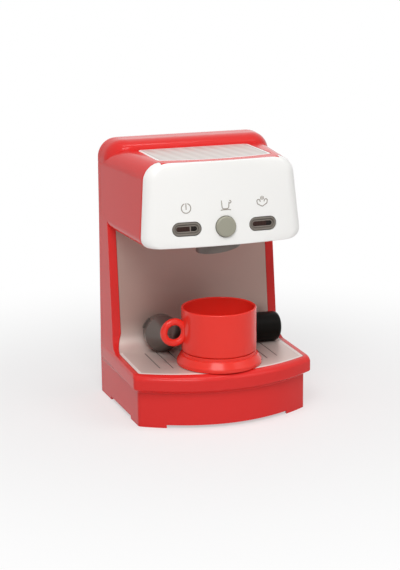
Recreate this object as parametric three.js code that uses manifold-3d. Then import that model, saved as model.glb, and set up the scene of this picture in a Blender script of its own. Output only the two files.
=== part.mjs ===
// A toy espresso machine for a play kitchen, with its cup, its saucer and its filter holder.
// Lengths are in millimetres. X points right as seen from the front, Y to the back, Z up.
// The origin is under the middle of the machine, on the surface that it stands on.

import * as THREE from 'three';
import { mergeVertices } from 'three/addons/utils/BufferGeometryUtils.js';
import Module from 'manifold-3d';

const wasm = await Module();
wasm.setup();

// Clearances and walls shared by many pieces
const gap = 0.3;
const wall = 2.2;
const overrun = 4;

// How finely round stretches are divided
const steps = {
  bow: 8,
  corner: 3,
  edge: 4,
  fillet: 5,
  lip: 2,
  crest: 3,
  round: 28,
  medium: 20,
  small: 10,
  screw: 8,
  slotEnd: 3,
  ledge: 5,
  tube: 7,
  coil: 12,
};

// The whole machine
const overall = { depth: 150, backCornerRadius: 3 };

// The base that holds the drip tray
const base = {
  halfWidth: 87,
  trayHeight: 51,
  bow: 27.5,
  cornerRadius: 5,
  lipDrop: 5,
  lipSlope: 8.3,
  rimRound: 1.5,
  bandDrop: 13,
  skirtDrop: 18,
  skirtInset: 5,
  archHeight: 3,
  footLength: 28,
};

// The column that carries the head
const column = { depthAtTray: 40.8, depthAtHead: 27.7, filletRadius: 18, drawnIn: 1.5 };

// The head: the bay under it, its own height and how far each end is drawn in from the one below
const head = {
  bay: 116.2,
  height: 76.2,
  setBack: 19,
  lean: 7,
  frontDrawnIn: 8.5,
  frontDrawnInHigh: 7,
  backDrawnInHigh: 0.5,
  bow: 6,
  edgeRadius: 13,
  topRadius: 16,
  bottomRadius: 10,
};
const crest = {
  rise: 8.4,
  depth: 34,
  slopeDepth: 15,
  endRadius: 18,
  cornerRadius: 20,
  cornerRadiusHigh: 1.2,
};

// The casing's parting line and screw posts
const casing = { coverDepth: 8, postRadius: 3.5 };
const backPosts = { sideInset: 23.5, aboveTray: 37, belowHead: 15.2 };
const basePosts = { sideInset: 39, frontInset: 42, backInset: 25, height: 24, ribHeight: 18, rib: 1.6 };

// The bottom plate, its four feet and the slots under the loudspeaker
const bottomPlate = { thickness: 2.4, footSize: 16, sideInset: 21, frontInset: 42, backInset: 19 };
const grille = { count: 5, width: 2.4, spacing: 5.6, reach: 13 };

// The silver plate that lines the tray and the splash wall
const liner = {
  thickness: 1.6,
  trayMargin: 6,
  trayRadius: 3,
  splashMargin: 8.4,
  grooveSpacing: 11.6,
  grooveWidth: 1.4,
  grooveDepth: 0.5,
  grooveMargin: 20.8,
  grooveSideMargin: 22,
};

// The pale plate on top of the head
const topPlate = {
  thickness: 1.5,
  sideMargin: 15,
  frontMargin: 20.7,
  backMargin: 2,
  bow: 9,
  cornerRadius: 5,
};

// The white front panel
const panel = { wall: 2.4, wrap: 13, sideMargin: 14 };

// The three buttons
const buttons = {
  aboveUnderside: 17.2,
  spacingShare: 0.471,
  flangeGap: 0.6,
  flange: 1.5,
  flangeWidth: 1.7,
  stemRadius: 3,
  stemEnd: 9,
};
const roundButton = { radius: 9.4, proud: 3, edge: 1.2, clearance: 0.4 };
const ovalButton = {
  length: 25.8,
  width: 11.6,
  sunk: 0.4,
  clearance: 0.5,
  stemOffset: 7.6,
  bezelInset: 1.6,
  bezelDepth: 0.6,
};
const lens = {
  length: 19,
  width: 4.2,
  sunk: 0.5,
  dividerWidth: 1.1,
  dividerShare: 0.69,
  dividerDepth: 0.6,
};

// The circuit board behind the buttons, with a rubber dome and a lamp for them
const board = {
  postClearance: 2.2,
  below: 6.5,
  above: 22,
  thickness: 1.6,
  postInset: 4,
  postRadius: 2.6,
  holeRadius: 1.4,
};
const led = { radius: 1.5, flange: 0.5, height: 4.6, flangeHeight: 1, offset: 5 };
const dome = { height: 4.4, radius: 4.4, topRadius: 3.1, foot: 0.9 };

// Screws of two sizes
const coverScrew = {
  headRadius: 2.8,
  headHeight: 1.6,
  shankRadius: 1.3,
  length: 11,
  slot: 0.8,
  slotDepth: 0.7,
};
const boardScrew = {
  headRadius: 2.3,
  headHeight: 1.4,
  shankRadius: 1,
  length: 7,
  slot: 0.7,
  slotDepth: 0.6,
};

// The round group head that the filter holder turns into
const collar = {
  setBack: 22.5,
  radius: 20.7,
  drop: 7.7,
  wall: 1.7,
  neckRadius: 18.4,
  neckWall: 1.2,
  neckProud: 1.4,
  roof: 1.5,
  shoulderDrop: 2,
  ledgeHeight: 2,
  ledgeReach: 1.6,
  ledgeDegrees: 60,
  edge: 1,
};

// The battery compartment, its door and what it holds
const cell = { radius: 7.1, length: 48.6, nubRadius: 2.7, nubLength: 1.4, shoulder: 0.8 };
const batteryBox = {
  wall: 1.6,
  sideRoom: 1,
  divider: 0.5,
  dividerEnd: 12,
  aboveTray: 15,
  bossHeight: 10,
  bossHole: 2.1,
  bossDepth: 7,
};
const door = { thickness: 2.2, inset: 1, screwInset: 6 };
const doorScrew = {
  headRadius: 2.6,
  headHeight: 1,
  shankRadius: 1.3,
  length: 6,
  slot: 0.8,
  slotDepth: 0.5,
};
const contact = { thickness: 0.5, sideMargin: 1.2, depthMargin: 2.1, gapCount: 5 };
const coil = { turns: 2, sides: 5, wire: 0.3, radius: 3, length: 3.2 };

// The loudspeaker on the bottom plate
const speaker = {
  setBack: 61,
  radius: 18,
  rim: 1.6,
  rimWidth: 2.2,
  basketTop: 9,
  magnetRadius: 9,
  magnetHeight: 5,
  coneDepth: 5,
  coneWall: 0.7,
  capRadius: 4.5,
  capDepth: 1.1,
  skin: 1.3,
  ringWall: 1.6,
  ringHeight: 3.6,
};

// The wires inside
const lead = { radius: 0.8, sides: 8, steps: 22, tail: 4, powerX: 12, speakerX: 32, inset: 13 };

// The saucer, out from the cup that it carries
const saucer = {
  height: 12.4,
  platformInset: 0.2,
  shoulderWidth: 1.4,
  shoulderDrop: 3,
  edgeWidth: 3.5,
  edgeHeight: 3.4,
  edgeRound: 0.8,
  wall: 2,
  wellClearance: 1,
};

// The cup
const cup = {
  clearOfHolder: 1.6,
  radius: 35,
  height: 41,
  wall: 2.2,
  edge: 1.6,
  footInset: 5.4,
  footDepth: 3,
  footWall: 2.2,
  floor: 2.4,
  handleRing: 10,
  handleTube: 3.3,
  handleRise: 20,
  handleOut: 8.6,
};

// The filter holder that lies on the tray behind the cup
const holder = {
  clearOfCup: 1,
  clearOfFillet: 0.5,
  lockClearance: 0.6,
  bowlWall: 1.8,
  bowlTop: 8,
  bowlLow: -2,
  collarProud: 1,
  collarHeight: 2,
  coneEnd: -25,
  coneRadius: 4,
  nozzleLength: 7,
  nozzleRadius: 3,
  nozzleBore: 1.6,
  nozzleShoulder: 2.3,
  lugHeight: 2,
  lugDrop: 1.5,
  lugDegrees: 36,
  lugTurnDegrees: 14,
  neckRadius: 6,
  neckEnd: 34,
  gripStart: 27,
  gripEnd: 118.5,
  gripNose: 9.5,
  gripWaist: 12.8,
  gripRadius: 14.2,
  gripRound: 4.5,
  waistShare: 0.06,
  swellStartShare: 0.33,
  swellEndShare: 0.67,
  swellShare: 0.67,
  bore: 3.4,
  boreStart: 38,
  capRadius: 9.4,
  capSink: 2,
  capDome: 1.4,
};

// Heights and depths that follow from the sizes above
const front = -overall.depth / 2;
const back = overall.depth / 2;
const parting = back - casing.coverDepth;
const innerBack = back - wall;
const trayTop = base.trayHeight;
const underside = trayTop + head.bay;
const headTop = underside + head.height;
const crestTop = headTop + crest.rise;
const ceiling = headTop - topPlate.thickness - gap - wall;
const linerBed = liner.thickness + gap;
const headFront = front + head.setBack;
const bandLow = trayTop - base.bandDrop;
const skirtTop = trayTop - base.skirtDrop;
const plateLow = base.archHeight + gap;
const plateHigh = plateLow + bottomPlate.thickness;

// Half widths at each level
const columnHalf = base.halfWidth - column.drawnIn;
const headHalfLow = columnHalf - head.frontDrawnIn;
const headHalfHigh = headHalfLow - head.frontDrawnInHigh;
const headHalfBack = columnHalf - head.backDrawnInHigh;
const trayHalf = base.halfWidth - liner.trayMargin;
const plateHalf = headHalfHigh - topPlate.sideMargin;
const tongueHalf = headHalfHigh - panel.sideMargin;
const plateBack = back - crest.depth - topPlate.backMargin;

// The column's leaning face and the fillet at its foot
const faceAtTray = back - column.depthAtTray;
const faceAtHead = back - column.depthAtHead;
const faceLean = Math.atan2(faceAtHead - faceAtTray, head.bay);
const filletY = faceAtTray - (column.filletRadius * (1 - Math.sin(faceLean))) / Math.cos(faceLean);
const filletZ = trayTop + column.filletRadius;
const filletTop = filletZ - column.filletRadius * Math.sin(faceLean);

// The panel's lean and the middle of the buttons on it
const panelLean = Math.atan2(head.lean, head.height);
const buttonsHeight = underside + buttons.aboveUnderside;
const buttonsFront = headFront + (head.lean * buttons.aboveUnderside) / head.height;
const spacing = headHalfLow * buttons.spacingShare;
const flangeHalf = ovalButton.length / 2 + buttons.flangeWidth;
const postX = spacing + flangeHalf + board.postClearance + board.postRadius;
const boardDepth = buttons.stemEnd + dome.height + 2 * gap;

// The collar, and the bowl that fits it
const collarCentre = headFront + collar.setBack;
const collarLow = underside - collar.drop;
const collarTop = underside + wall + collar.neckProud;
const collarBore = collar.radius - collar.wall;
const bowlRadius = collarBore - collar.ledgeReach - holder.lockClearance;

// The holder lies against the fillet, and the cup stands in front of it on its saucer
const holderX = -cup.radius - holder.coneRadius - holder.clearOfCup;
const holderY = filletY - holder.clearOfFillet;
const cupCentre = holderY - holder.gripRadius - cup.clearOfHolder - cup.radius;
const saucerLow = trayTop + gap;
const saucerTop = saucerLow + saucer.height;
const cupLow = saucerTop + gap;
const cupRim = cupLow + cup.height;
const footRadius = cup.radius - cup.footInset;
const holderScrewX = holder.boreStart + coverScrew.headHeight + gap;

// Screw pilots and the loudspeaker's middle
const pilotRadius = coverScrew.shankRadius + gap;
const pilotDepth = coverScrew.length;
const speakerCentre = front + speaker.setBack;

// The frame of the leaning front: X right, Y up the panel, Z out of it
const panelFrame = new THREE.Matrix4()
  .makeRotationX(Math.PI / 2 - panelLean)
  .setPosition(0, buttonsFront, buttonsHeight);

// Materials
function paint(color, roughness, metalness = 0) {
  return new THREE.MeshStandardMaterial({ color, roughness, metalness });
}
const red = paint(0xe0281f, 0.28);
const white = paint(0xf4f2ec, 0.35);
const silver = paint(0xd9d2cc, 0.42, 0.1);
const palePlate = paint(0xdcdad5, 0.4);
const warmGrey = paint(0xa3a094, 0.45);
const bezelGrey = paint(0x8c8985, 0.45);
const darkGrey = paint(0x5c5a58, 0.5);
const black = paint(0x141414, 0.4);
const smokedRed = paint(0x4a2a28, 0.2);
const boardGreen = paint(0x1e6b3c, 0.5);
const clearRed = paint(0xd8342c, 0.2);
const siliconeWhite = paint(0xe9e6df, 0.7);
const steel = paint(0xb9bbbd, 0.35, 0.9);
const paperBlack = paint(0x24221f, 0.8);
const cellBlue = paint(0x3a5f8c, 0.35, 0.2);
const wireRed = paint(0xb5201c, 0.5);
const wireBlack = paint(0x1d1d1d, 0.5);
const wireGrey = paint(0x77787a, 0.5);

// Turns a three.js geometry into a solid whose faces point out
function toSolid(geometry) {
  const bare = geometry.clone();
  bare.deleteAttribute('normal');
  bare.deleteAttribute('uv');
  const merged = mergeVertices(bare);
  const place = merged.getAttribute('position');
  const source = merged.getIndex().array;
  const faces = [];
  let volume = 0;
  const corner = [new THREE.Vector3(), new THREE.Vector3(), new THREE.Vector3()];
  for (let i = 0; i < source.length; i += 3) {
    const [a, b, c] = [source[i], source[i + 1], source[i + 2]];
    if (a === b || b === c || c === a) continue;
    faces.push([a, b, c]);
    corner.forEach((point, k) => point.fromBufferAttribute(place, source[i + k]));
    volume += corner[0].dot(corner[1].clone().cross(corner[2]));
  }
  const triVerts = new Uint32Array(faces.flatMap(([a, b, c]) => (volume < 0 ? [a, c, b] : [a, b, c])));
  const vertProperties = new Float32Array(place.array);
  return new wasm.Manifold(new wasm.Mesh({ numProp: 3, vertProperties, triVerts }));
}

// Turns a solid back into a geometry
function toGeometry(solid) {
  const mesh = solid.getMesh();
  const geometry = new THREE.BufferGeometry();
  geometry.setAttribute('position', new THREE.BufferAttribute(new Float32Array(mesh.vertProperties), 3));
  geometry.setIndex(new THREE.BufferAttribute(new Uint32Array(mesh.triVerts), 1));
  const flat = geometry.toNonIndexed();
  flat.computeVertexNormals();
  return flat;
}

const join = (solids) => solids.reduce((sum, solid) => sum.add(solid));
const cut = (solid, cutters) => cutters.reduce((rest, cutter) => rest.subtract(cutter), solid);
const mix = THREE.MathUtils.lerp;
const radians = THREE.MathUtils.degToRad;

// A closed outline whose corners are rounded by true arcs
function roundedOutline(corners) {
  const points = [];
  corners.forEach(({ at, radius }, i) => {
    if (!radius) {
      points.push(at);
      return;
    }
    const here = new THREE.Vector2(...at);
    const towards = (step) => {
      const other = corners[(i + step + corners.length) % corners.length];
      return new THREE.Vector2(...other.at).sub(here).normalize();
    };
    const before = towards(-1);
    const after = towards(1);
    const half = Math.acos(THREE.MathUtils.clamp(before.dot(after), -1, 1)) / 2;
    const centre = before.clone().add(after).normalize().multiplyScalar(radius / Math.sin(half)).add(here);
    const start = before.clone().multiplyScalar(radius / Math.tan(half)).add(here).sub(centre);
    const turn = Math.sign(before.cross(after)) * (2 * half - Math.PI);
    for (let k = 0; k <= steps.corner; k += 1) {
      const arm = start.clone().rotateAround(new THREE.Vector2(), (turn * k) / steps.corner);
      points.push([centre.x + arm.x, centre.y + arm.y]);
    }
  });
  return points;
}

// The plan of a box with a bowed or straight front and tapering sides
function planOutline(plan) {
  const corners = [];
  const pieces = plan.bow ? steps.bow : 1;
  for (let i = 0; i <= pieces; i += 1) {
    const share = (2 * i) / pieces - 1;
    const radius = Math.abs(share) === 1 ? plan.frontRadius : 0;
    corners.push({ at: [share * plan.halfFront, plan.front + plan.bow * share * share], radius });
  }
  corners.push({ at: [plan.halfBack, plan.back], radius: plan.backRadius });
  corners.push({ at: [-plan.halfBack, plan.back], radius: plan.backRadius });
  return roundedOutline(corners);
}

// A rounded rectangle about a centre
function rectangle(halfX, halfY, radius, centreX = 0, centreY = 0) {
  const signs = [[-1, -1], [1, -1], [1, 1], [-1, 1]];
  const corners = signs.map(([sx, sy]) => ({ at: [centreX + sx * halfX, centreY + sy * halfY], radius }));
  return roundedOutline(corners);
}

// A stadium: a slot with round ends
function stadium(length, width) {
  const shape = new THREE.Shape();
  const run = (length - width) / 2;
  shape.absarc(run, 0, width / 2, -Math.PI / 2, Math.PI / 2);
  shape.absarc(-run, 0, width / 2, Math.PI / 2, (3 * Math.PI) / 2);
  return shape.getPoints(steps.slotEnd).slice(0, -1).map((point) => [point.x, point.y]);
}

// Joins closed outlines of equal counts, stacked along Z, into one body
function loft(sections) {
  const count = sections[0].outline.length;
  const positions = sections.flatMap(({ z, outline }) => outline.flatMap(([x, y]) => [x, y, z]));
  const faces = [];
  for (let s = 0; s < sections.length - 1; s += 1) {
    for (let i = 0; i < count; i += 1) {
      const a = s * count + i;
      const b = s * count + ((i + 1) % count);
      faces.push(a, b, b + count, a, b + count, a + count);
    }
  }
  const lid = (outline) => {
    const contour = outline.map(([x, y]) => new THREE.Vector2(x, y));
    return THREE.ShapeUtils.triangulateShape(contour, []);
  };
  const end = sections.length - 1;
  const last = end * count;
  lid(sections[0].outline).forEach(([a, b, c]) => faces.push(a, c, b));
  lid(sections[end].outline).forEach(([a, b, c]) => faces.push(last + a, last + b, last + c));
  const geometry = new THREE.BufferGeometry();
  geometry.setAttribute('position', new THREE.Float32BufferAttribute(positions, 3));
  geometry.setIndex(faces);
  return toSolid(geometry);
}

// Extrusions of an outline along each axis
function prism(outline, from, to) {
  const shape = new THREE.Shape(outline.map(([x, y]) => new THREE.Vector2(x, y)));
  return new THREE.ExtrudeGeometry(shape, { depth: to - from, bevelEnabled: false }).translate(0, 0, from);
}
const turnToX = new THREE.Matrix4().makeBasis(
  new THREE.Vector3(0, 1, 0),
  new THREE.Vector3(0, 0, 1),
  new THREE.Vector3(1, 0, 0),
);
const alongX = (outline, from, to) => toSolid(prism(outline, from, to).applyMatrix4(turnToX));
const alongZ = (outline, from, to) => toSolid(prism(outline, from, to));

// A plain block between two corners
function block([x0, x1], [y0, y1], [z0, z1]) {
  const geometry = new THREE.BoxGeometry(x1 - x0, y1 - y0, z1 - z0);
  return toSolid(geometry.translate((x0 + x1) / 2, (y0 + y1) / 2, (z0 + z1) / 2));
}

// A turned piece: its profile is given as radius and height, about Z
function turned(profile, segments = steps.round) {
  const points = profile.map(([radius, z]) => new THREE.Vector2(radius, z));
  return new THREE.LatheGeometry(points, segments).rotateX(Math.PI / 2);
}
const rod = (radius, from, to, segments = steps.small) =>
  turned([[0, from], [radius, from], [radius, to], [0, to]], segments);
const rodAt = (x, y, radius, from, to, segments) =>
  toSolid(rod(radius, from, to, segments).translate(x, y, 0));
const rodBack = (x, z, radius, from, to, segments) =>
  toSolid(rod(radius, from, to, segments).rotateX(-Math.PI / 2).translate(x, 0, z));

// A point, and a solid, moved from the panel's frame
const panelPoint = (x, up, out) => new THREE.Vector3(x, up, out).applyMatrix4(panelFrame);
const onPanel = (geometry) => toSolid(geometry.applyMatrix4(panelFrame));

// How far the bowed front has dropped back at a distance from the middle, and how it turns there
const bowAt = (x) => head.bow * (x / headHalfLow) ** 2;
const yawAt = (x) => Math.atan((2 * head.bow * x) / headHalfLow ** 2);

// An oval button's own frame, square to the bowed panel, within the panel's frame
const ovalFrame = (x) => new THREE.Matrix4().makeRotationY(yawAt(x)).setPosition(x, 0, -bowAt(x));

// The sides of the head and the column: half the width at a height and a depth
const upShare = (z) => (z - underside) / head.height;
const headFrontAt = (z) => headFront + head.lean * upShare(z);
const columnShare = (z) => THREE.MathUtils.clamp((z - trayTop) / (underside - trayTop), 0, 1);
function halfBackAt(z) {
  if (z < underside) return mix(base.halfWidth, columnHalf, columnShare(z));
  return mix(columnHalf, headHalfBack, upShare(z));
}
function taperAt(z) {
  const level = Math.max(z, underside);
  const halfFront = mix(headHalfLow, headHalfHigh, upShare(level));
  const full = (halfBackAt(level) - halfFront) / (back - headFrontAt(level) - head.bow);
  const rim = base.rimRound / (back - filletY);
  return mix(rim, full, THREE.MathUtils.clamp((z - trayTop) / (filletTop - trayTop), 0, 1));
}
const halfAt = (z, y) => halfBackAt(z) - taperAt(z) * (back - y);

// The head's outer form, or its inner form when drawn in by a wall
function headForm(inset) {
  const section = (z, pull) => {
    const level = THREE.MathUtils.clamp(z, underside, headTop);
    const start = headFrontAt(level) + inset;
    return {
      z,
      outline: planOutline({
        halfFront: halfAt(level, start + head.bow) - inset - pull,
        halfBack: halfAt(level, back) - inset - pull,
        front: start,
        back: back - inset,
        bow: head.bow,
        frontRadius: head.edgeRadius - inset,
        backRadius: overall.backCornerRadius,
      }),
    };
  };
  const sections = [];
  const low = underside + inset;
  const high = headTop - inset;
  const lowRadius = head.bottomRadius - inset;
  const highRadius = head.topRadius - inset;
  for (let k = 0; k <= steps.edge; k += 1) {
    const turn = ((Math.PI / 2) * k) / steps.edge;
    sections.push(section(low + lowRadius * (1 - Math.cos(turn)), lowRadius * (1 - Math.sin(turn))));
  }
  for (let k = 0; k <= steps.edge; k += 1) {
    const turn = ((Math.PI / 2) * k) / steps.edge;
    sections.push(section(high - highRadius * (1 - Math.sin(turn)), highRadius * (1 - Math.cos(turn))));
  }
  return loft(sections);
}

// The column's front line in side view: the fillet from the tray, then the leaning face
function columnLine(inset) {
  const points = [];
  const radius = column.filletRadius + inset;
  for (let k = 0; k <= steps.fillet; k += 1) {
    const turn = ((Math.PI / 2 - faceLean) * k) / steps.fillet;
    points.push([filletY + radius * Math.sin(turn), filletZ - radius * Math.cos(turn)]);
  }
  const last = points[points.length - 1];
  const top = underside + head.bottomRadius;
  points.push([last[0] + (top - last[1]) * Math.tan(faceLean), top]);
  return points;
}

// The column's outer form, or its inner form behind the liner's bed and a wall
function columnForm(sideInset, faceInset) {
  const outline = (z, y) =>
    planOutline({
      halfFront: halfAt(z, y) - sideInset,
      halfBack: halfAt(z, back) - sideInset,
      front: y,
      back: back - sideInset,
      bow: 0,
      frontRadius: 0,
      backRadius: overall.backCornerRadius,
    });
  const line = columnLine(faceInset);
  const start = line[0][1] - base.lipDrop;
  const sections = [{ z: start, outline: outline(trayTop, line[0][0]) }];
  line.forEach(([y, z]) => sections.push({ z, outline: outline(z, y) }));
  return loft(sections);
}

// The base's outer form: skirt, lip band and the rounded drop of the lip
function baseOutline(inset, lipShare, skirt) {
  const drawn = inset + lipShare * base.rimRound;
  const frontDrawn = inset + lipShare * base.lipSlope + skirt * base.skirtInset;
  return planOutline({
    halfFront: base.halfWidth - drawn - skirt * base.skirtInset,
    halfBack: base.halfWidth - drawn,
    front: front + frontDrawn,
    back: back - inset,
    bow: base.bow,
    frontRadius: base.cornerRadius,
    backRadius: overall.backCornerRadius,
  });
}
function baseForm() {
  const bandTop = trayTop - base.lipDrop;
  const sections = [
    { z: 0, outline: baseOutline(0, 0, 1) },
    { z: skirtTop, outline: baseOutline(0, 0, 1) },
    { z: bandLow, outline: baseOutline(0, 0, 0) },
    { z: bandTop, outline: baseOutline(0, 0, 0) },
  ];
  for (let k = 1; k <= steps.lip; k += 1) {
    const turn = ((Math.PI / 2) * k) / steps.lip;
    const outline = baseOutline(0, 1 - Math.cos(turn), 0);
    sections.push({ z: bandTop + base.lipDrop * Math.sin(turn), outline });
  }
  return loft(sections);
}
function baseHollow() {
  const roof = trayTop - linerBed - wall;
  return loft([
    { z: -overrun, outline: baseOutline(wall, 0, 1) },
    { z: skirtTop + wall, outline: baseOutline(wall, 0, 1) },
    { z: bandLow + wall, outline: baseOutline(wall, 0, 0) },
    { z: roof - base.lipDrop, outline: baseOutline(wall, 0, 0) },
    { z: roof, outline: baseOutline(wall, 1, 0) },
  ]);
}

// The crest: it rises in a curve from the top, its ends are rounded, and its front corners are round
// at the foot and nearly sharp at the top
function crestForm(inset) {
  const foot = crestTop - crest.endRadius;
  const rise = crestTop - headTop;
  const pullAt = (z) => {
    const share = THREE.MathUtils.clamp((z - foot) / crest.endRadius, 0, 1);
    return crest.endRadius * (1 - Math.sqrt(1 - share * share));
  };
  const section = (z, backShare) => {
    const level = Math.min(z, headTop);
    const y = back - crest.depth + crest.slopeDepth * backShare;
    const corner = mix(crest.cornerRadius, crest.cornerRadiusHigh, backShare);
    return {
      z: z - inset,
      outline: planOutline({
        halfFront: halfAt(level, y) - pullAt(z) - inset,
        halfBack: halfAt(level, back) - pullAt(z) - inset,
        front: y + inset,
        back: back - inset,
        bow: 0,
        frontRadius: Math.max(corner - inset, crest.cornerRadiusHigh),
        backRadius: overall.backCornerRadius,
      }),
    };
  };
  const sections = [section(foot - overrun, 0), section(foot, 0)];
  for (let k = 0; k <= steps.crest; k += 1) {
    const turn = ((Math.PI / 2) * k) / (steps.crest + 1);
    sections.push(section(headTop + rise * Math.sin(turn), 1 - Math.cos(turn)));
  }
  sections.push(section(crestTop, 1));
  return loft(sections);
}

// The liner as a bent sheet, and the bed that is cut for it
function linerForm(side, above, below) {
  const upper = columnLine(-above);
  const lower = columnLine(below);
  const stop = underside;
  const trim = (line) => {
    const [y0, z0] = line[line.length - 2];
    const [y1, z1] = line[line.length - 1];
    const share = (stop - z0) / (z1 - z0);
    return [...line.slice(0, -1), [mix(y0, y1, share), stop]];
  };
  const outline = [
    [front, trayTop - below],
    ...trim(lower),
    ...trim(upper).reverse(),
    [front, trayTop + above],
  ];
  const sheet = alongX(outline, -base.halfWidth, base.halfWidth);
  const limit = (z, half) => ({
    z,
    outline: planOutline({
      halfFront: half + side,
      halfBack: half + side,
      front: front + base.lipSlope + gap - side,
      back,
      bow: base.bow * (trayHalf / base.halfWidth) ** 2,
      frontRadius: liner.trayRadius,
      backRadius: 0,
    }),
  });
  const limits = loft([
    limit(trayTop - overrun, trayHalf),
    limit(trayTop + above, trayHalf),
    limit(filletTop + above, halfAt(filletTop, faceAtTray) - liner.splashMargin),
    limit(underside + overrun, halfAt(underside, faceAtHead) - liner.splashMargin),
  ]);
  return sheet.intersect(limits);
}

// The space in front of the panel's parting plane, in the panel's frame
function frontSpace(depth) {
  const reach = overall.depth;
  return onPanel(new THREE.BoxGeometry(2 * reach, 2 * reach, reach).translate(0, 0, reach / 2 - depth));
}

// The strip of the red top that runs forward to the panel's face
function tongueSpace(side, fromFace) {
  const half = tongueHalf + side;
  const outline = planOutline({
    halfFront: half,
    halfBack: half,
    front: headFrontAt(headTop) + fromFace,
    back,
    bow: head.bow * (half / headHalfHigh) ** 2,
    frontRadius: 0,
    backRadius: 0,
  });
  return alongZ(outline, ceiling - side, headTop + overrun);
}

// Hole and counterbore places
const backPostPlaces = [-1, 1].flatMap((side) => [
  { x: side * (columnHalf - backPosts.sideInset), z: trayTop + backPosts.aboveTray },
  { x: side * (columnHalf - backPosts.sideInset), z: underside - backPosts.belowHead },
]);
const basePostPlaces = [-1, 1].flatMap((side) => [
  { x: side * (base.halfWidth - basePosts.sideInset), y: front + basePosts.frontInset },
  { x: side * (base.halfWidth - basePosts.sideInset), y: back - basePosts.backInset },
]);
const footPlaces = [-1, 1].flatMap((side) => [
  { x: side * (base.halfWidth - bottomPlate.sideInset), y: front + bottomPlate.frontInset },
  { x: side * (base.halfWidth - bottomPlate.sideInset), y: back - bottomPlate.backInset },
]);

// The raised arches between the feet
function arches() {
  const halfX = base.halfWidth - base.footLength;
  const frontY = front + bottomPlate.frontInset + base.footLength / 2;
  const backY = back - bottomPlate.backInset - base.footLength / 2;
  const across = base.halfWidth + overrun;
  return [
    block([-halfX, halfX], [front - overrun, back + overrun], [-overrun, base.archHeight]),
    block([-across, across], [frontY, backY], [-overrun, base.archHeight]),
  ];
}

// The whole casing before it is parted into shell and cover
const inner = linerBed + wall;
const hollowHead = headForm(wall).intersect(
  block([-base.halfWidth, base.halfWidth], [front, back], [underside, ceiling]),
);
const hollow = join([baseHollow(), columnForm(wall, inner), hollowHead, crestForm(wall)]);
const baseSolid = baseForm();
const outer = join([baseSolid, columnForm(0, 0), headForm(0), crestForm(0)]);
const casingSolid = cut(outer, [hollow, ...arches()]);
const collarHole = rodAt(0, collarCentre, collar.neckRadius + gap, collarLow, collarTop, steps.round);

function bodyShell() {
  const behind = block([-base.halfWidth, base.halfWidth], [front, parting - gap], [0, crestTop]);
  const panelSpace = cut(frontSpace(panel.wrap + gap), [
    tongueSpace(0, panel.wall + gap),
    block([-base.halfWidth, base.halfWidth], [front, back], [-overrun, underside - gap]),
  ]);
  const half = plateHalf + gap;
  const plateBed = alongZ(
    planOutline({
      halfFront: half,
      halfBack: half,
      front: headFront + topPlate.frontMargin - gap,
      back: plateBack + gap,
      bow: topPlate.bow,
      frontRadius: topPlate.cornerRadius,
      backRadius: topPlate.cornerRadius,
    }),
    headTop - topPlate.thickness - gap,
    headTop + overrun,
  );
  const shell = cut(casingSolid.intersect(behind), [
    panelSpace,
    plateBed,
    linerForm(gap, gap, linerBed),
    collarHole,
  ]);
  const postFoot = plateHigh + gap;
  const ribs = basePostPlaces.map(({ x, y }) => {
    const ends = [x, Math.sign(x) * (halfAt(trayTop, y) - wall / 2)].sort((a, b) => a - b);
    const across = [y - basePosts.rib / 2, y + basePosts.rib / 2];
    return block(ends, across, [postFoot, postFoot + basePosts.ribHeight]);
  });
  const skirtRibs = ribs.map((rib) => rib.intersect(baseSolid));
  const bosses = [
    ...backPostPlaces.map(({ x, z }) => {
      const root = faceAt(z) + inner - wall / 2;
      return rodBack(x, z, casing.postRadius, root, innerBack - gap);
    }),
    ...basePostPlaces.map(({ x, y }) => {
      const top = postFoot + basePosts.height;
      return rodAt(x, y, casing.postRadius, postFoot, top);
    }),
    ...skirtRibs,
  ];
  const pilots = [
    ...backPostPlaces.map(({ x, z }) => rodBack(x, z, pilotRadius, innerBack - pilotDepth, back)),
    ...basePostPlaces.map(({ x, y }) => rodAt(x, y, pilotRadius, 0, plateHigh + pilotDepth)),
  ];
  return toGeometry(cut(join([shell, ...bosses]), pilots));
}

// The column's face at a height
function faceAt(z) {
  return faceAtTray + (z - trayTop) * Math.tan(faceLean);
}

// A countersunk recess and hole for a cover screw, cut along Y or Z
const screwRecess = coverScrew.headHeight + gap;

function backCover() {
  const behind = block([-base.halfWidth, base.halfWidth], [parting, back], [0, crestTop]);
  const bosses = backPostPlaces.map(({ x, z }) =>
    rodBack(x, z, coverScrew.headRadius + wall / 2, innerBack - gap / 2, back - wall / 2),
  );
  const holes = backPostPlaces.flatMap(({ x, z }) => [
    rodBack(x, z, coverScrew.shankRadius + gap, parting, back),
    rodBack(x, z, coverScrew.headRadius + gap, back - screwRecess, back + overrun),
  ]);
  const halfX = batteryInner.half - door.inset + gap;
  const opening = block(
    [-halfX, halfX],
    [parting - overrun, back + overrun],
    [doorLow - gap, doorTop + gap],
  );
  return toGeometry(cut(join([casingSolid.intersect(behind), ...bosses]), [...holes, opening]));
}

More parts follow.
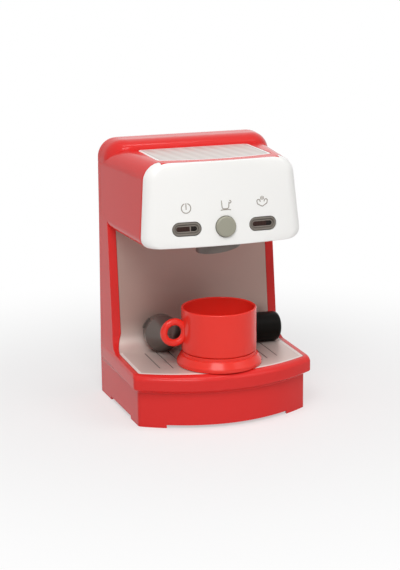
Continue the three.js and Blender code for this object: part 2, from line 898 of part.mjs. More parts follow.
function bottomCover() {
  const plate = alongZ(baseOutline(wall + gap, 0, 1), plateLow, plateHigh);
  const footHalf = bottomPlate.footSize / 2;
  const feet = footPlaces.map(({ x, y }) =>
    alongZ(rectangle(footHalf, footHalf, wall, x, y), 0, plateHigh - wall / 2),
  );
  const screwCups = basePostPlaces.map(({ x, y }) =>
    rodAt(x, y, coverScrew.headRadius + wall, plateLow - screwRecess + wall / 2, plateHigh - wall / 2),
  );
  const slots = [];
  for (let i = 0; i < grille.count; i += 1) {
    const y = speakerCentre + (i - (grille.count - 1) / 2) * grille.spacing;
    const across = [y - grille.width / 2, y + grille.width / 2];
    slots.push(block([-grille.reach, grille.reach], across, [0, plateHigh + overrun]));
  }
  const ring = toSolid(
    turned([
      [speaker.radius + gap, plateHigh - wall / 2],
      [speaker.radius + gap + speaker.ringWall, plateHigh - wall / 2],
      [speaker.radius + gap + speaker.ringWall, plateHigh + speaker.ringHeight],
      [speaker.radius + gap, plateHigh + speaker.ringHeight],
      [speaker.radius + gap, plateHigh - wall / 2],
    ]).translate(0, speakerCentre, 0),
  );
  const holes = basePostPlaces.flatMap(({ x, y }) => [
    rodAt(x, y, coverScrew.shankRadius + gap, 0, plateHigh + overrun),
    rodAt(x, y, coverScrew.headRadius + gap, 0, plateHigh - wall / 2),
  ]);
  return toGeometry(cut(join([plate, ...feet, ...screwCups, ring]), [...slots, ...holes]));
}

function linerPlate() {
  const sheet = linerForm(0, 0, liner.thickness);
  const bowed = base.bow * (trayHalf / base.halfWidth) ** 2;
  const grooves = [];
  const sideCount = Math.floor((trayHalf - liner.grooveSideMargin) / liner.grooveSpacing);
  for (let i = -sideCount; i <= sideCount; i += 1) {
    const x = i * liner.grooveSpacing;
    const start = front + base.lipSlope + liner.grooveMargin + bowed * (x / trayHalf) ** 2;
    grooves.push(
      block(
        [x - liner.grooveWidth / 2, x + liner.grooveWidth / 2],
        [start, filletY - liner.grooveWidth],
        [trayTop - liner.grooveDepth, trayTop + overrun],
      ),
    );
  }
  return toGeometry(cut(sheet, grooves));
}

function topPlateSheet() {
  const outline = planOutline({
    halfFront: plateHalf,
    halfBack: plateHalf,
    front: headFront + topPlate.frontMargin,
    back: plateBack,
    bow: topPlate.bow,
    frontRadius: topPlate.cornerRadius,
    backRadius: topPlate.cornerRadius,
  });
  return toGeometry(alongZ(outline, headTop - topPlate.thickness, headTop));
}

const boardPosts = [-1, 1].flatMap((side) => [
  { x: side * postX, up: board.postInset - board.below },
  { x: side * postX, up: board.above - board.postInset },
]);
const ovalPlaces = [-spacing, spacing];

function frontPanel() {
  const slab = headForm(0).intersect(frontSpace(panel.wrap));
  const shell = cut(slab, [headForm(panel.wall), tongueSpace(gap, panel.wall), collarHole]);
  const posts = boardPosts.map(({ x, up }) =>
    onPanel(
      rod(board.postRadius, -boardDepth + gap, -bowAt(x) - panel.wall / 2).translate(x, up, 0),
    ),
  );
  const pilots = boardPosts.map(({ x, up }) => {
    const end = -bowAt(x) - panel.wall - gap;
    return onPanel(rod(boardScrew.shankRadius + gap, -boardDepth, end).translate(x, up, 0));
  });
  const holes = [
    onPanel(rod(roundButton.radius + roundButton.clearance, -panel.wrap, overrun, steps.round)),
    ...ovalPlaces.map((x) => {
      const length = ovalButton.length + 2 * ovalButton.clearance;
      const width = ovalButton.width + 2 * ovalButton.clearance;
      return onPanel(prism(stadium(length, width), -boardDepth / 2, overrun).applyMatrix4(ovalFrame(x)));
    }),
  ];
  return toGeometry(cut(join([shell, ...posts]), [...pilots, ...holes]));
}

// The group head's collar: a socket with two ledges that the filter holder's lugs turn over
function collarRing() {
  const bore = collar.radius - collar.wall;
  const body = toSolid(
    turned([
      [bore, collarLow],
      [collar.radius - collar.edge, collarLow],
      [collar.radius, collarLow + collar.edge],
      [collar.radius, underside - gap],
      [collar.neckRadius, underside - gap],
      [collar.neckRadius, collarTop],
      [0, collarTop],
      [0, collarTop - collar.roof],
      [collar.neckRadius - collar.neckWall, collarTop - collar.roof],
      [collar.neckRadius - collar.neckWall, underside - collar.shoulderDrop],
      [bore, underside - collar.shoulderDrop],
      [bore, collarLow],
    ]),
  );
  const ledges = [0, Math.PI].map((start) =>
    alongZ(
      sector(bore - collar.ledgeReach, bore + collar.wall / 2, start, radians(collar.ledgeDegrees)),
      collarLow,
      collarLow + collar.ledgeHeight,
    ),
  );
  return toGeometry(join([body, ...ledges])).translate(0, collarCentre, 0);
}

// A slice of a ring, between two radii
function sector(inside, outside, start, sweep) {
  const points = [];
  for (let k = 0; k <= steps.ledge; k += 1) {
    const turn = start + (sweep * k) / steps.ledge;
    points.push([outside * Math.cos(turn), outside * Math.sin(turn)]);
  }
  for (let k = steps.ledge; k >= 0; k -= 1) {
    const turn = start + (sweep * k) / steps.ledge;
    points.push([inside * Math.cos(turn), inside * Math.sin(turn)]);
  }
  return points;
}

// The depths of the button flanges, in the panel's frame
const flangeFront = -panel.wall - buttons.flangeGap;
const flangeBack = flangeFront - buttons.flange;

function coffeeButton() {
  const { radius, proud, edge } = roundButton;
  const profile = [
    [0, -buttons.stemEnd],
    [buttons.stemRadius, -buttons.stemEnd],
    [buttons.stemRadius, flangeBack],
    [radius + buttons.flangeWidth, flangeBack],
    [radius + buttons.flangeWidth, flangeFront],
    [radius, flangeFront],
    [radius, proud - edge],
    [radius - edge * (1 - Math.SQRT1_2), proud - edge * (1 - Math.SQRT1_2)],
    [radius - edge, proud],
    [0, proud],
  ];
  return toGeometry(toSolid(turned(profile)));
}

function ovalButtonBody(stemSide) {
  const { length, width, sunk, bezelInset, bezelDepth } = ovalButton;
  const cap = alongZ(stadium(length, width), flangeBack, -sunk);
  const wider = 2 * buttons.flangeWidth;
  const flange = alongZ(stadium(length + wider, width + wider), flangeBack, flangeFront);
  const stem = toSolid(rod(buttons.stemRadius, -buttons.stemEnd, flangeBack + buttons.flange / 2)
    .translate(stemSide * ovalButton.stemOffset, 0, 0));
  const dishOutline = stadium(length - 2 * bezelInset, width - 2 * bezelInset);
  const dish = alongZ(dishOutline, -sunk - bezelDepth, overrun);
  const slot = alongZ(stadium(lens.length + 2 * gap, lens.width + 2 * gap), -buttons.stemEnd, overrun);
  const behind = block([-length, length], [-width, width], [-buttons.stemEnd, flangeFront]);
  const window = cut(slot, [behind]);
  const light = rodAt(-stemSide * led.offset, 0, led.radius + led.flange, -buttons.stemEnd, overrun);
  return toGeometry(cut(join([cap, flange, stem]), [dish, window, light]));
}

// The dark window in an oval button, with a notch that divides it when asked
function lensBody(divided) {
  const { length, width, sunk } = lens;
  const body = alongZ(stadium(length, width), flangeBack + buttons.flange + gap, -ovalButton.sunk - sunk);
  if (!divided) return toGeometry(body);
  const x = length * (lens.dividerShare - 1 / 2);
  const top = -ovalButton.sunk - sunk;
  const notch = block(
    [x - lens.dividerWidth / 2, x + lens.dividerWidth / 2],
    [-width, width],
    [top - lens.dividerDepth, overrun],
  );
  return toGeometry(cut(body, [notch]));
}

function circuitBoard() {
  const { postInset, below, above, thickness, holeRadius } = board;
  const halfWidth = postX + postInset;
  const plate = block([-halfWidth, halfWidth], [-below, above], [-boardDepth - thickness, -boardDepth]);
  const ends = [-boardDepth - overrun, -boardDepth + overrun];
  const holes = boardPosts.map(({ x, up }) => rodAt(x, up, holeRadius, ...ends));
  return toGeometry(cut(plate, holes));
}

// A rubber dome from the board up to the depth of a button's stem
function domeBody(stemTip) {
  const floor = -boardDepth + gap;
  const top = stemTip - gap;
  const profile = [
    [0, floor],
    [dome.radius, floor],
    [dome.radius, floor + dome.foot],
    [dome.topRadius, top - dome.foot],
    [dome.topRadius, top],
    [0, top],
  ];
  return toGeometry(toSolid(turned(profile, steps.small)));
}

function ledBody() {
  const floor = -boardDepth + gap;
  const { radius, flange, flangeHeight, height } = led;
  const profile = [
    [0, floor],
    [radius + flange, floor],
    [radius + flange, floor + flangeHeight],
    [radius, floor + flangeHeight],
    [radius, floor + height - radius],
    [radius * Math.SQRT1_2, floor + height - radius * (1 - Math.SQRT1_2)],
    [0, floor + height],
  ];
  return toGeometry(toSolid(turned(profile, steps.small)));
}

// A screw along Z whose head lies at zero and whose shank runs to plus Z
function screwBody({ headRadius, headHeight, shankRadius, length, slot, slotDepth }) {
  const profile = [
    [0, 0],
    [headRadius, 0],
    [headRadius, headHeight],
    [shankRadius, headHeight],
    [shankRadius, length - shankRadius],
    [0, length],
  ];
  const drive = block([-headRadius, headRadius], [-slot / 2, slot / 2], [-overrun, slotDepth]);
  return toGeometry(cut(toSolid(turned(profile, steps.screw)), [drive]));
}

// The battery compartment: sizes that its door, its contacts and the cover's opening share
const batteryInner = {
  half: 2 * cell.radius + batteryBox.sideRoom,
  low: trayTop + batteryBox.aboveTray + batteryBox.wall,
  depth: 2 * cell.radius + batteryBox.sideRoom,
};
const endRoom = coil.length + 2 * contact.thickness + contact.gapCount * gap;
batteryInner.high = batteryInner.low + cell.length + cell.nubLength + endRoom;
const doorLow = batteryInner.low;
const doorTop = batteryInner.high + batteryBox.bossHeight;
const boxBack = innerBack - gap;
const boxFront = boxBack - batteryInner.depth - batteryBox.wall;
const doorScrewZ = doorTop - door.screwInset;
const doorInner = back - door.thickness;

function batteryBoxBody() {
  const half = batteryInner.half + batteryBox.wall;
  const top = doorTop + batteryBox.wall;
  const body = block([-half, half], [boxFront, boxBack], [batteryInner.low - batteryBox.wall, top]);
  const room = block(
    [-batteryInner.half, batteryInner.half],
    [boxFront + batteryBox.wall, back],
    [batteryInner.low, batteryInner.high],
  );
  const above = block(
    [-half - overrun, half + overrun],
    [boxFront - overrun, boxBack - batteryBox.bossDepth],
    [batteryInner.high + batteryBox.wall, top + overrun],
  );
  const divider = block(
    [-batteryBox.divider / 2, batteryBox.divider / 2],
    [boxFront + batteryBox.wall / 2, boxBack - batteryInner.depth / 2],
    [batteryInner.low + batteryBox.dividerEnd, batteryInner.high - batteryBox.dividerEnd],
  );
  const hole = rodBack(0, doorScrewZ, batteryBox.bossHole, boxBack - batteryBox.bossDepth - overrun, back);
  return toGeometry(cut(join([cut(body, [room, above]), divider]), [hole]));
}

function batteryCell() {
  const { radius, length, nubRadius, nubLength, shoulder } = cell;
  const profile = [
    [0, 0],
    [radius - shoulder, 0],
    [radius, shoulder],
    [radius, length - shoulder],
    [radius - shoulder, length],
    [nubRadius, length],
    [nubRadius, length + nubLength],
    [0, length + nubLength],
  ];
  return toGeometry(toSolid(turned(profile, steps.small)));
}

function contactPlate() {
  const halfWidth = batteryInner.half - contact.sideMargin;
  const halfDepth = batteryInner.depth / 2 - contact.depthMargin;
  return toGeometry(block([-halfWidth, halfWidth], [-halfDepth, halfDepth], [0, contact.thickness]));
}

// A short coil spring under a cell
function contactCoil() {
  const points = [];
  const count = coil.turns * steps.coil;
  for (let i = 0; i <= count; i += 1) {
    const turn = (2 * Math.PI * i) / steps.coil;
    const z = coil.wire + ((coil.length - 2 * coil.wire) * i) / count;
    points.push(new THREE.Vector3(coil.radius * Math.cos(turn), coil.radius * Math.sin(turn), z));
  }
  return tube(points, coil.wire, coil.sides, count, 'catmullrom');
}

function batteryDoor() {
  const half = batteryInner.half - door.inset;
  const plate = block([-half, half], [doorInner, back], [doorLow, doorTop]);
  const hole = rodBack(0, doorScrewZ, doorScrew.shankRadius + gap, parting, back + overrun);
  const sink = back - doorScrew.headHeight - gap;
  const recess = rodBack(0, doorScrewZ, doorScrew.headRadius + gap, sink, back + overrun);
  return toGeometry(cut(plate, [hole, recess]));
}

function speakerFrame() {
  const low = plateHigh + gap;
  const { radius, rim, rimWidth, basketTop, magnetRadius, magnetHeight, skin } = speaker;
  const profile = [
    [radius - rimWidth, low],
    [radius, low],
    [radius, low + rim],
    [radius - rimWidth / 2, low + rim],
    [magnetRadius + skin, low + basketTop],
    [magnetRadius, low + basketTop],
    [magnetRadius, low + basketTop + magnetHeight],
    [0, low + basketTop + magnetHeight],
    [0, low + basketTop - skin],
    [magnetRadius - skin, low + basketTop - skin],
    [radius - rimWidth, low + rim],
    [radius - rimWidth, low],
  ];
  return toGeometry(toSolid(turned(profile, steps.medium)).translate(0, speakerCentre, 0));
}

function speakerCone() {
  const low = plateHigh + 2 * gap;
  const { radius, rimWidth, coneDepth, coneWall, capRadius, capDepth } = speaker;
  const edge = radius - rimWidth - gap;
  const profile = [
    [0, low + coneDepth - coneWall - capDepth],
    [capRadius, low + coneDepth - coneWall],
    [edge, low],
    [edge, low + coneWall],
    [capRadius, low + coneDepth],
    [0, low + coneDepth - capDepth],
  ];
  return toGeometry(toSolid(turned(profile, steps.medium)).translate(0, speakerCentre, 0));
}

// A round tube through points, with a given number of sides and stretches
function tube(points, radius, sides, stretches, kind) {
  const ring = Array.from({ length: sides }, (_, i) => {
    const turn = (2 * Math.PI * i) / sides;
    return new THREE.Vector2(radius * Math.cos(turn), radius * Math.sin(turn));
  });
  const extrudePath = new THREE.CatmullRomCurve3(points, false, kind);
  const options = { extrudePath, steps: stretches, bevelEnabled: false };
  return toGeometry(toSolid(new THREE.ExtrudeGeometry(new THREE.Shape(ring), options)));
}
const wire = (points) => tube(points, lead.radius, lead.sides, lead.steps, 'centripetal');

// The wires' last stretch, square to the back of the board
function toBoard(x, up) {
  const end = -boardDepth - board.thickness - gap;
  return [panelPoint(x, up, end - lead.tail), panelPoint(x, up, end)];
}

const columnMiddle = (faceAtHead + inner + innerBack) / 2;
const headMiddle = (underside + headTop) / 2;

function powerLead(side) {
  const x = side * lead.powerX;
  const start = batteryInner.high + batteryBox.wall + gap;
  const y = boxFront + lead.tail;
  const up = board.above - lead.tail;
  return wire([
    new THREE.Vector3(x, y, start),
    new THREE.Vector3(x, y, start + lead.tail),
    new THREE.Vector3(x, columnMiddle, (start + headMiddle) / 2),
    new THREE.Vector3(x, faceAtHead - lead.inset, headMiddle),
    new THREE.Vector3(x, 0, headMiddle + lead.tail),
    ...toBoard(x, up),
  ]);
}

function speakerLead() {
  const x = lead.speakerX;
  const low = plateHigh + gap + speaker.basketTop;
  return wire([
    new THREE.Vector3(speaker.magnetRadius + lead.tail, speakerCentre, low),
    new THREE.Vector3(x, speakerCentre + lead.inset, low + lead.inset),
    new THREE.Vector3(x, filletY + lead.inset, (low + trayTop) / 2),
    new THREE.Vector3(x, columnMiddle, trayTop + backPosts.aboveTray),
    new THREE.Vector3(x, columnMiddle, underside - backPosts.belowHead),
    new THREE.Vector3(x, faceAtHead - lead.inset, headMiddle),
    new THREE.Vector3(x, 0, headMiddle + lead.tail),
    ...toBoard(x, board.above - lead.tail),
  ]);
}

// The cup, with its foot and its ring handle
function cupBody() {
  const { radius, wall: skin, edge, footDepth, footWall, floor } = cup;
  const [low, rim] = [cupLow, cupRim];
  const profile = [
    [0, low],
    [footRadius - footWall, low],
    [footRadius - footWall, low - footDepth],
    [footRadius, low - footDepth],
    [footRadius, low],
    [radius - edge, low],
    [radius - edge * (1 - Math.SQRT1_2), low + edge * (1 - Math.SQRT1_2)],
    [radius, low + edge],
    [radius, rim - skin / 2],
    [radius - skin / 2, rim],
    [radius - skin, rim - skin / 2],
    [radius - skin, low + floor + edge],
    [radius - skin - edge, low + floor],
    [0, low + floor],
  ];
  const body = toSolid(turned(profile));
  const ring = new THREE.TorusGeometry(cup.handleRing, cup.handleTube, steps.tube, steps.medium);
  ring.rotateX(Math.PI / 2).translate(-radius - cup.handleOut, 0, low + cup.handleRise);
  const handle = toSolid(ring);
  const room = toSolid(rod(radius - skin / 2, low - footDepth, rim + overrun, steps.round));
  return toGeometry(join([body, cut(handle, [room])])).translate(0, cupCentre, 0);
}

function saucerBody() {
  const [low, high] = [saucerLow, saucerTop];
  const s = saucer;
  const wellRadius = footRadius + gap;
  const wellFloor = high - cup.footDepth - s.wellClearance;
  const platformRadius = cup.radius - s.platformInset;
  const shoulderRadius = platformRadius + s.shoulderWidth;
  const edgeRadius = shoulderRadius + s.edgeWidth;
  const profile = [
    [0, wellFloor - s.wall],
    [wellRadius + s.wall, wellFloor - s.wall],
    [platformRadius - s.wall, high - s.wall - s.shoulderDrop],
    [edgeRadius - s.wall, low + s.edgeHeight - s.wall / 2],
    [edgeRadius - s.wall, low],
    [edgeRadius - s.edgeRound, low],
    [edgeRadius, low + s.edgeRound],
    [edgeRadius, low + s.edgeHeight],
    [shoulderRadius, high - s.shoulderDrop],
    [platformRadius, high - s.shoulderDrop],
    [platformRadius, high],
    [wellRadius, high],
    [wellRadius, wellFloor],
    [0, wellFloor],
  ];
  return toGeometry(toSolid(turned(profile))).translate(0, cupCentre, 0);
}

// The filter holder's bowl with its cone, lugs and neck, mouth up and handle along X
function holderBowl() {
  const h = holder;
  const inside = bowlRadius - h.bowlWall;
  const collarRadius = bowlRadius + h.collarProud;
  const profile = [
    [inside, h.bowlTop],
    [bowlRadius, h.bowlTop],
    [bowlRadius, h.bowlLow],
    [collarRadius, h.bowlLow],
    [collarRadius, h.bowlLow - h.collarHeight],
    [h.coneRadius, h.coneEnd],
    [h.coneRadius - h.bowlWall, h.coneEnd],
    [inside, h.bowlLow - h.collarHeight + h.bowlWall],
    [inside, h.bowlTop],
  ];
  const lugRadius = collarBore - h.lockClearance;
  const neckForm = rod(h.neckRadius, inside + h.bowlWall / 2, h.neckEnd, steps.medium);
  const neck = toSolid(neckForm.rotateY(Math.PI / 2));
  const lugs = [0, Math.PI].map((start) => {
    const from = start + radians(h.lugTurnDegrees);
    const outline = sector(bowlRadius - h.bowlWall / 2, lugRadius, from, radians(h.lugDegrees));
    return alongZ(outline, h.bowlTop - h.lugDrop - h.lugHeight, h.bowlTop - h.lugDrop);
  });
  const room = toSolid(rod(inside, h.bowlLow, h.bowlTop, steps.round));
  const pilotEnd = holderScrewX - coverScrew.length - gap;
  const pilot = toSolid(rod(pilotRadius, pilotEnd, h.neckEnd + overrun).rotateY(Math.PI / 2));
  return toGeometry(cut(join([toSolid(turned(profile)), cut(neck, [room]), ...lugs]), [pilot]));
}

function holderNozzle() {
  const h = holder;
  const top = h.coneEnd - gap;
  const profile = [
    [h.nozzleBore, top],
    [h.coneRadius, top],
    [h.coneRadius, top - h.nozzleShoulder],
    [h.nozzleRadius, top - h.nozzleLength],
    [h.nozzleBore, top - h.nozzleLength],
    [h.nozzleBore, top],
  ];
  return toGeometry(toSolid(turned(profile, steps.small)));
}

function holderGrip() {
  const h = holder;
  const length = h.gripEnd - h.gripStart;
  const profile = [
    [h.neckRadius + gap, h.gripStart],
    [h.gripNose, h.gripStart],
    [h.gripWaist, h.gripStart + length * h.waistShare],
    [mix(h.gripWaist, h.gripRadius, h.swellShare), h.gripStart + length * h.swellStartShare],
    [h.gripRadius, h.gripStart + length * h.swellEndShare],
  ];
  for (let k = 0; k <= steps.corner; k += 1) {
    const turn = ((Math.PI / 2) * k) / steps.corner;
    const r = h.gripRadius - h.gripRound * (1 - Math.cos(turn));
    profile.push([r, h.gripEnd - h.gripRound * (1 - Math.sin(turn))]);
  }
  profile.push(
    [h.capRadius + gap, h.gripEnd],
    [h.capRadius + gap, h.gripEnd - h.capSink],
    [h.bore, h.gripEnd - h.capSink],
    [h.bore, h.boreStart],
    [pilotRadius, h.boreStart],
    [pilotRadius, h.neckEnd + gap],
    [h.neckRadius + gap, h.neckEnd + gap],
    [h.neckRadius + gap, h.gripStart],
  );
  return toGeometry(toSolid(turned(profile, steps.medium).rotateY(Math.PI / 2)));
}

function holderCap() {
  const h = holder;
  const seat = h.gripEnd - h.capSink + gap;
  const profile = [
    [0, seat],
    [h.capRadius, seat],
    [h.capRadius, h.gripEnd],
    [h.capRadius - h.capDome, h.gripEnd + h.capDome],
    [0, h.gripEnd + h.capDome],
  ];
  return toGeometry(toSolid(turned(profile, steps.medium).rotateY(Math.PI / 2)));
}

// Building the scene
const machine = new THREE.Group();

function add(parent, name, geometry, material, [x, y, z] = [0, 0, 0], [rx, ry, rz] = [0, 0, 0]) {
  const mesh = new THREE.Mesh(geometry, material);
  mesh.name = name;
  mesh.position.set(x, y, z);
  mesh.rotation.set(rx, ry, rz);
  parent.add(mesh);
  return mesh;
}

// The casing
add(machine, 'body_shell', bodyShell(), red);
add(machine, 'back_cover', backCover(), red);
add(machine, 'bottom_cover', bottomCover(), red);
add(machine, 'tray_and_splash_plate', linerPlate(), silver);
add(machine, 'top_plate', topPlateSheet(), palePlate);
add(machine, 'front_panel', frontPanel(), white);
add(machine, 'group_collar', collarRing(), darkGrey);

// Screws of the back cover and the bottom cover
backPostPlaces.forEach(({ x, z }, i) => {
  const place = [x, back - gap / 2, z];
  add(machine, `back_screw_${i + 1}`, screwBody(coverScrew), steel, place, [Math.PI / 2, 0, 0]);
});
basePostPlaces.forEach(({ x, y }, i) => {
  const place = [x, y, plateHigh - wall / 2 - coverScrew.headHeight - gap / 2];
  add(machine, `bottom_screw_${i + 1}`, screwBody(coverScrew), steel, place);
});

// The front's own group leans with the panel
const frontGroup = new THREE.Group();
frontGroup.position.set(0, buttonsFront, buttonsHeight);
frontGroup.rotation.x = Math.PI / 2 - panelLean;
machine.add(frontGroup);

add(frontGroup, 'coffee_button', coffeeButton(), warmGrey);
add(frontGroup, 'circuit_board', circuitBoard(), boardGreen);
add(frontGroup, 'coffee_dome', domeBody(-buttons.stemEnd), siliconeWhite);
[{ name: 'power', side: -1 }, { name: 'steam', side: 1 }].forEach(({ name, side: hand }) => {
  const x = hand * spacing;
  const own = new THREE.Group();
  own.position.set(x, 0, -bowAt(x));
  own.rotation.y = yawAt(x);
  frontGroup.add(own);
  add(own, `${name}_button`, ovalButtonBody(-hand), bezelGrey);
  add(own, `${name}_lens`, lensBody(name === 'power'), smokedRed);
  const tip = new THREE.Vector3(-hand * ovalButton.stemOffset, 0, -buttons.stemEnd);
  tip.applyMatrix4(ovalFrame(x));
  add(frontGroup, `${name}_dome`, domeBody(tip.z - gap), siliconeWhite, [tip.x, 0, 0]);
  const glow = new THREE.Vector3(hand * led.offset, 0, flangeBack);
  glow.applyMatrix4(ovalFrame(x));
  add(frontGroup, `${name}_led`, ledBody(), clearRed, [glow.x, 0, 0]);
});
boardPosts.forEach(({ x, up }, i) => {
  const place = [x, up, -boardDepth - board.thickness - boardScrew.headHeight - gap / 2];
  add(frontGroup, `board_screw_${i + 1}`, screwBody(boardScrew), steel, place);
});

// The battery compartment
const cellX = cell.radius + (batteryBox.divider + gap) / 2;
const cellY = boxBack - batteryInner.depth / 2;
const lowPlateTop = batteryInner.low + gap + contact.thickness;
const cellLow = lowPlateTop + coil.length + 2 * gap;
add(machine, 'battery_box', batteryBoxBody(), darkGrey);
add(machine, 'battery_left', batteryCell(), cellBlue, [-cellX, cellY, cellLow]);
const turnedTop = lowPlateTop + gap + cell.length + cell.nubLength;
add(machine, 'battery_right', batteryCell(), cellBlue, [cellX, cellY, turnedTop], [Math.PI, 0, 0]);
add(machine, 'contact_plate_low', contactPlate(), steel, [0, cellY, batteryInner.low + gap]);
const highPlateLow = batteryInner.high - gap - contact.thickness;
add(machine, 'contact_plate_high', contactPlate(), steel, [0, cellY, highPlateLow]);
add(machine, 'contact_coil_left', contactCoil(), steel, [-cellX, cellY, lowPlateTop + gap]);
add(machine, 'contact_coil_right', contactCoil(), steel, [cellX, cellY, turnedTop + gap]);
add(machine, 'battery_door', batteryDoor(), red);
const doorScrewPlace = [0, back - gap / 2, doorScrewZ];
add(machine, 'door_screw', screwBody(doorScrew), steel, doorScrewPlace, [Math.PI / 2, 0, 0]);

// Sound and wiring
add(machine, 'speaker_frame', speakerFrame(), steel);
add(machine, 'speaker_cone', speakerCone(), paperBlack);
add(machine, 'power_lead_red', powerLead(-1), wireRed);
add(machine, 'power_lead_black', powerLead(1), wireBlack);
add(machine, 'speaker_lead', speakerLead(), wireGrey);

// The cup on its saucer
add(machine, 'cup', cupBody(), red);
add(machine, 'saucer', saucerBody(), red);

// The filter holder lies on its side, its grip's far end on the tray and its bowl on the fillet
const mouthOut = Math.max(0, holderY + holder.bowlTop - filletY);
const filletRise = column.filletRadius - Math.sqrt(column.filletRadius ** 2 - mouthOut ** 2);
const bowlZ = trayTop + gap + Math.max(bowlRadius + filletRise, bowlRadius + holder.collarProud);
const gripZ = trayTop + gap + holder.gripRadius;
const lay = new THREE.Group();
lay.position.set(holderX, holderY, bowlZ);
lay.rotation.y = Math.asin((bowlZ - gripZ) / (holder.gripEnd - holder.gripRound));
machine.add(lay);
const onSide = new THREE.Group();
onSide.rotation.x = -Math.PI / 2;
lay.add(onSide);
add(onSide, 'holder_bowl', holderBowl(), darkGrey);
add(onSide, 'holder_nozzle', holderNozzle(), darkGrey);
add(onSide, 'holder_grip', holderGrip(), black);
add(onSide, 'holder_cap', holderCap(), black);
add(onSide, 'holder_screw', screwBody(coverScrew), steel, [holderScrewX, 0, 0], [0, -Math.PI / 2, 0]);

export default machine;
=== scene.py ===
"""Looks of a toy espresso machine for a play kitchen.

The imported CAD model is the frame. Each visible piece is a surface worked out with numpy from the same
sizes, in millimetres, with its place in its mesh. X points right, Y to the back and Z up.
"""

import logging
import math
from dataclasses import dataclass
from enum import Enum
from functools import cache
from typing import Any, Iterable, Sequence, Union

import bpy
import numpy as np
from mathutils import Matrix


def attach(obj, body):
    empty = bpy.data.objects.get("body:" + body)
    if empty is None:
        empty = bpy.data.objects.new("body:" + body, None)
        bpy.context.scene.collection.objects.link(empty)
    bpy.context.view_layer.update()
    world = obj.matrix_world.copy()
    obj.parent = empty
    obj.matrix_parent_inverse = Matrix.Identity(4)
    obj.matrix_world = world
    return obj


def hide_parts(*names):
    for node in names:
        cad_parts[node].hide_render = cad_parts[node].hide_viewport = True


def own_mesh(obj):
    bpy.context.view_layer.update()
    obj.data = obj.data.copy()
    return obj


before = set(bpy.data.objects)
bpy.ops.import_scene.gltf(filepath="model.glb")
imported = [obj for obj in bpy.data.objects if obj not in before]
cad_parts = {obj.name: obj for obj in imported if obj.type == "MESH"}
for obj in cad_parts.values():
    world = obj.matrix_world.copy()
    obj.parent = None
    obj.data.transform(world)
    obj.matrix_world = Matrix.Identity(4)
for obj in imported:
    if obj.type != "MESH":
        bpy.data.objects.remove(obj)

LOG = logging.getLogger("toy_espresso_machine")
Array = np.ndarray
Pair = tuple[float, float]
Triple = tuple[float, float, float]
Row = tuple[float, ...]
Line = Sequence[Row]
Colour = Triple
Shades = tuple[Colour, Colour]
Shape = Union["Surface", "Body"]
QUARTER = math.pi / 2
MM = 0.001
IN_METRES = np.array([[1, 1, 1, MM]] * 3 + [[1, 1, 1, 1]])
# Shared sizes in millimetres: a cut's overrun, the gap between pieces, the casing's wall, and places
OVERRUN = 4.0
GAP = 0.3
WALL = 2.2
BUTTON_STEP = 36.267
COLLAR_AT = -33.5
SPEAKER_AT = -14.0
BACK_SCREWS = [(x, z) for x in (-62.0, 62.0) for z in (88.0, 152.0)]
BASE_SCREWS = [(x, y) for x in (-48.0, 48.0) for y in (-33.0, 50.0)]


# Curves


def unit(vector: Array) -> Array:
    """The vector scaled to length one."""
    return vector / np.linalg.norm(vector)


def arc(centre: Sequence[float], radius: float, start: float, end: float, steps: int) -> Array:
    """Points on a circle from one angle to another in radians: centre + radius (cos t, sin t)."""
    turn = np.linspace(start, end, steps + 1)
    return np.asarray(centre) + radius * np.stack([np.cos(turn), np.sin(turn)], 1)


def sector(inner: float, outer: float, start: float, end: float, steps: int) -> Array:
    """The outline of a stretch of a flat ring: its outer arc, and its inner arc on the way back."""
    return np.vstack([arc((0, 0), outer, start, end, steps), arc((0, 0), inner, start, end, steps)[::-1]])


def pill(length: float, width: float, steps: int = 16) -> Array:
    """The outline of a slot with round ends: two half circles joined by straight sides."""
    right = arc(((length - width) / 2, 0), width / 2, -QUARTER, QUARTER, steps)
    return np.vstack([right, -right])


def softened(radius: float, top: float, points: int, start: float = 0.0) -> list[Pair]:
    """How far a rounded upper edge is drawn in, r (1 - cos t), and its height, top - r (1 - sin t)."""
    turn = np.linspace(start, QUARTER, points)
    return [(radius * (1 - math.cos(t)), top - radius * (1 - math.sin(t))) for t in turn]


def rounded(corners: Line, steps: int = 6, closed: bool = False) -> Array:
    """A line whose corners are rounded by true arcs.

    Each arc touches both sides of its corner: its centre lies on the corner's bisector at the radius
    divided by the sine of half the corner's angle.

    Args:
        corners: x, y and radius of each corner; a radius of zero keeps it sharp.
        steps: Stretches in each arc.
        closed: Whether the last corner joins the first.

    Returns:
        The points, one row each.
    """
    places = np.array([corner[:2] for corner in corners], float)
    runs = []
    for i, (here, (_, _, radius)) in enumerate(zip(places, corners)):
        if radius <= 0 or not closed and i in (0, len(corners) - 1):
            runs.append(here[None])
            continue
        before, after = unit(places[i - 1] - here), unit(places[(i + 1) % len(corners)] - here)
        half = math.acos(float(np.clip(before @ after, -1, 1))) / 2
        centre = here + unit(before + after) * radius / math.sin(half)
        arm = here + before * radius / math.tan(half) - centre
        turn = math.copysign(math.pi - 2 * half, before[1] * after[0] - before[0] * after[1])
        cosine, sine = (wave(np.linspace(0, turn, steps + 1)) for wave in (np.cos, np.sin))
        runs.append(centre + np.stack([arm[0] * cosine - arm[1] * sine, arm[0] * sine + arm[1] * cosine], 1))
    return np.vstack(runs)


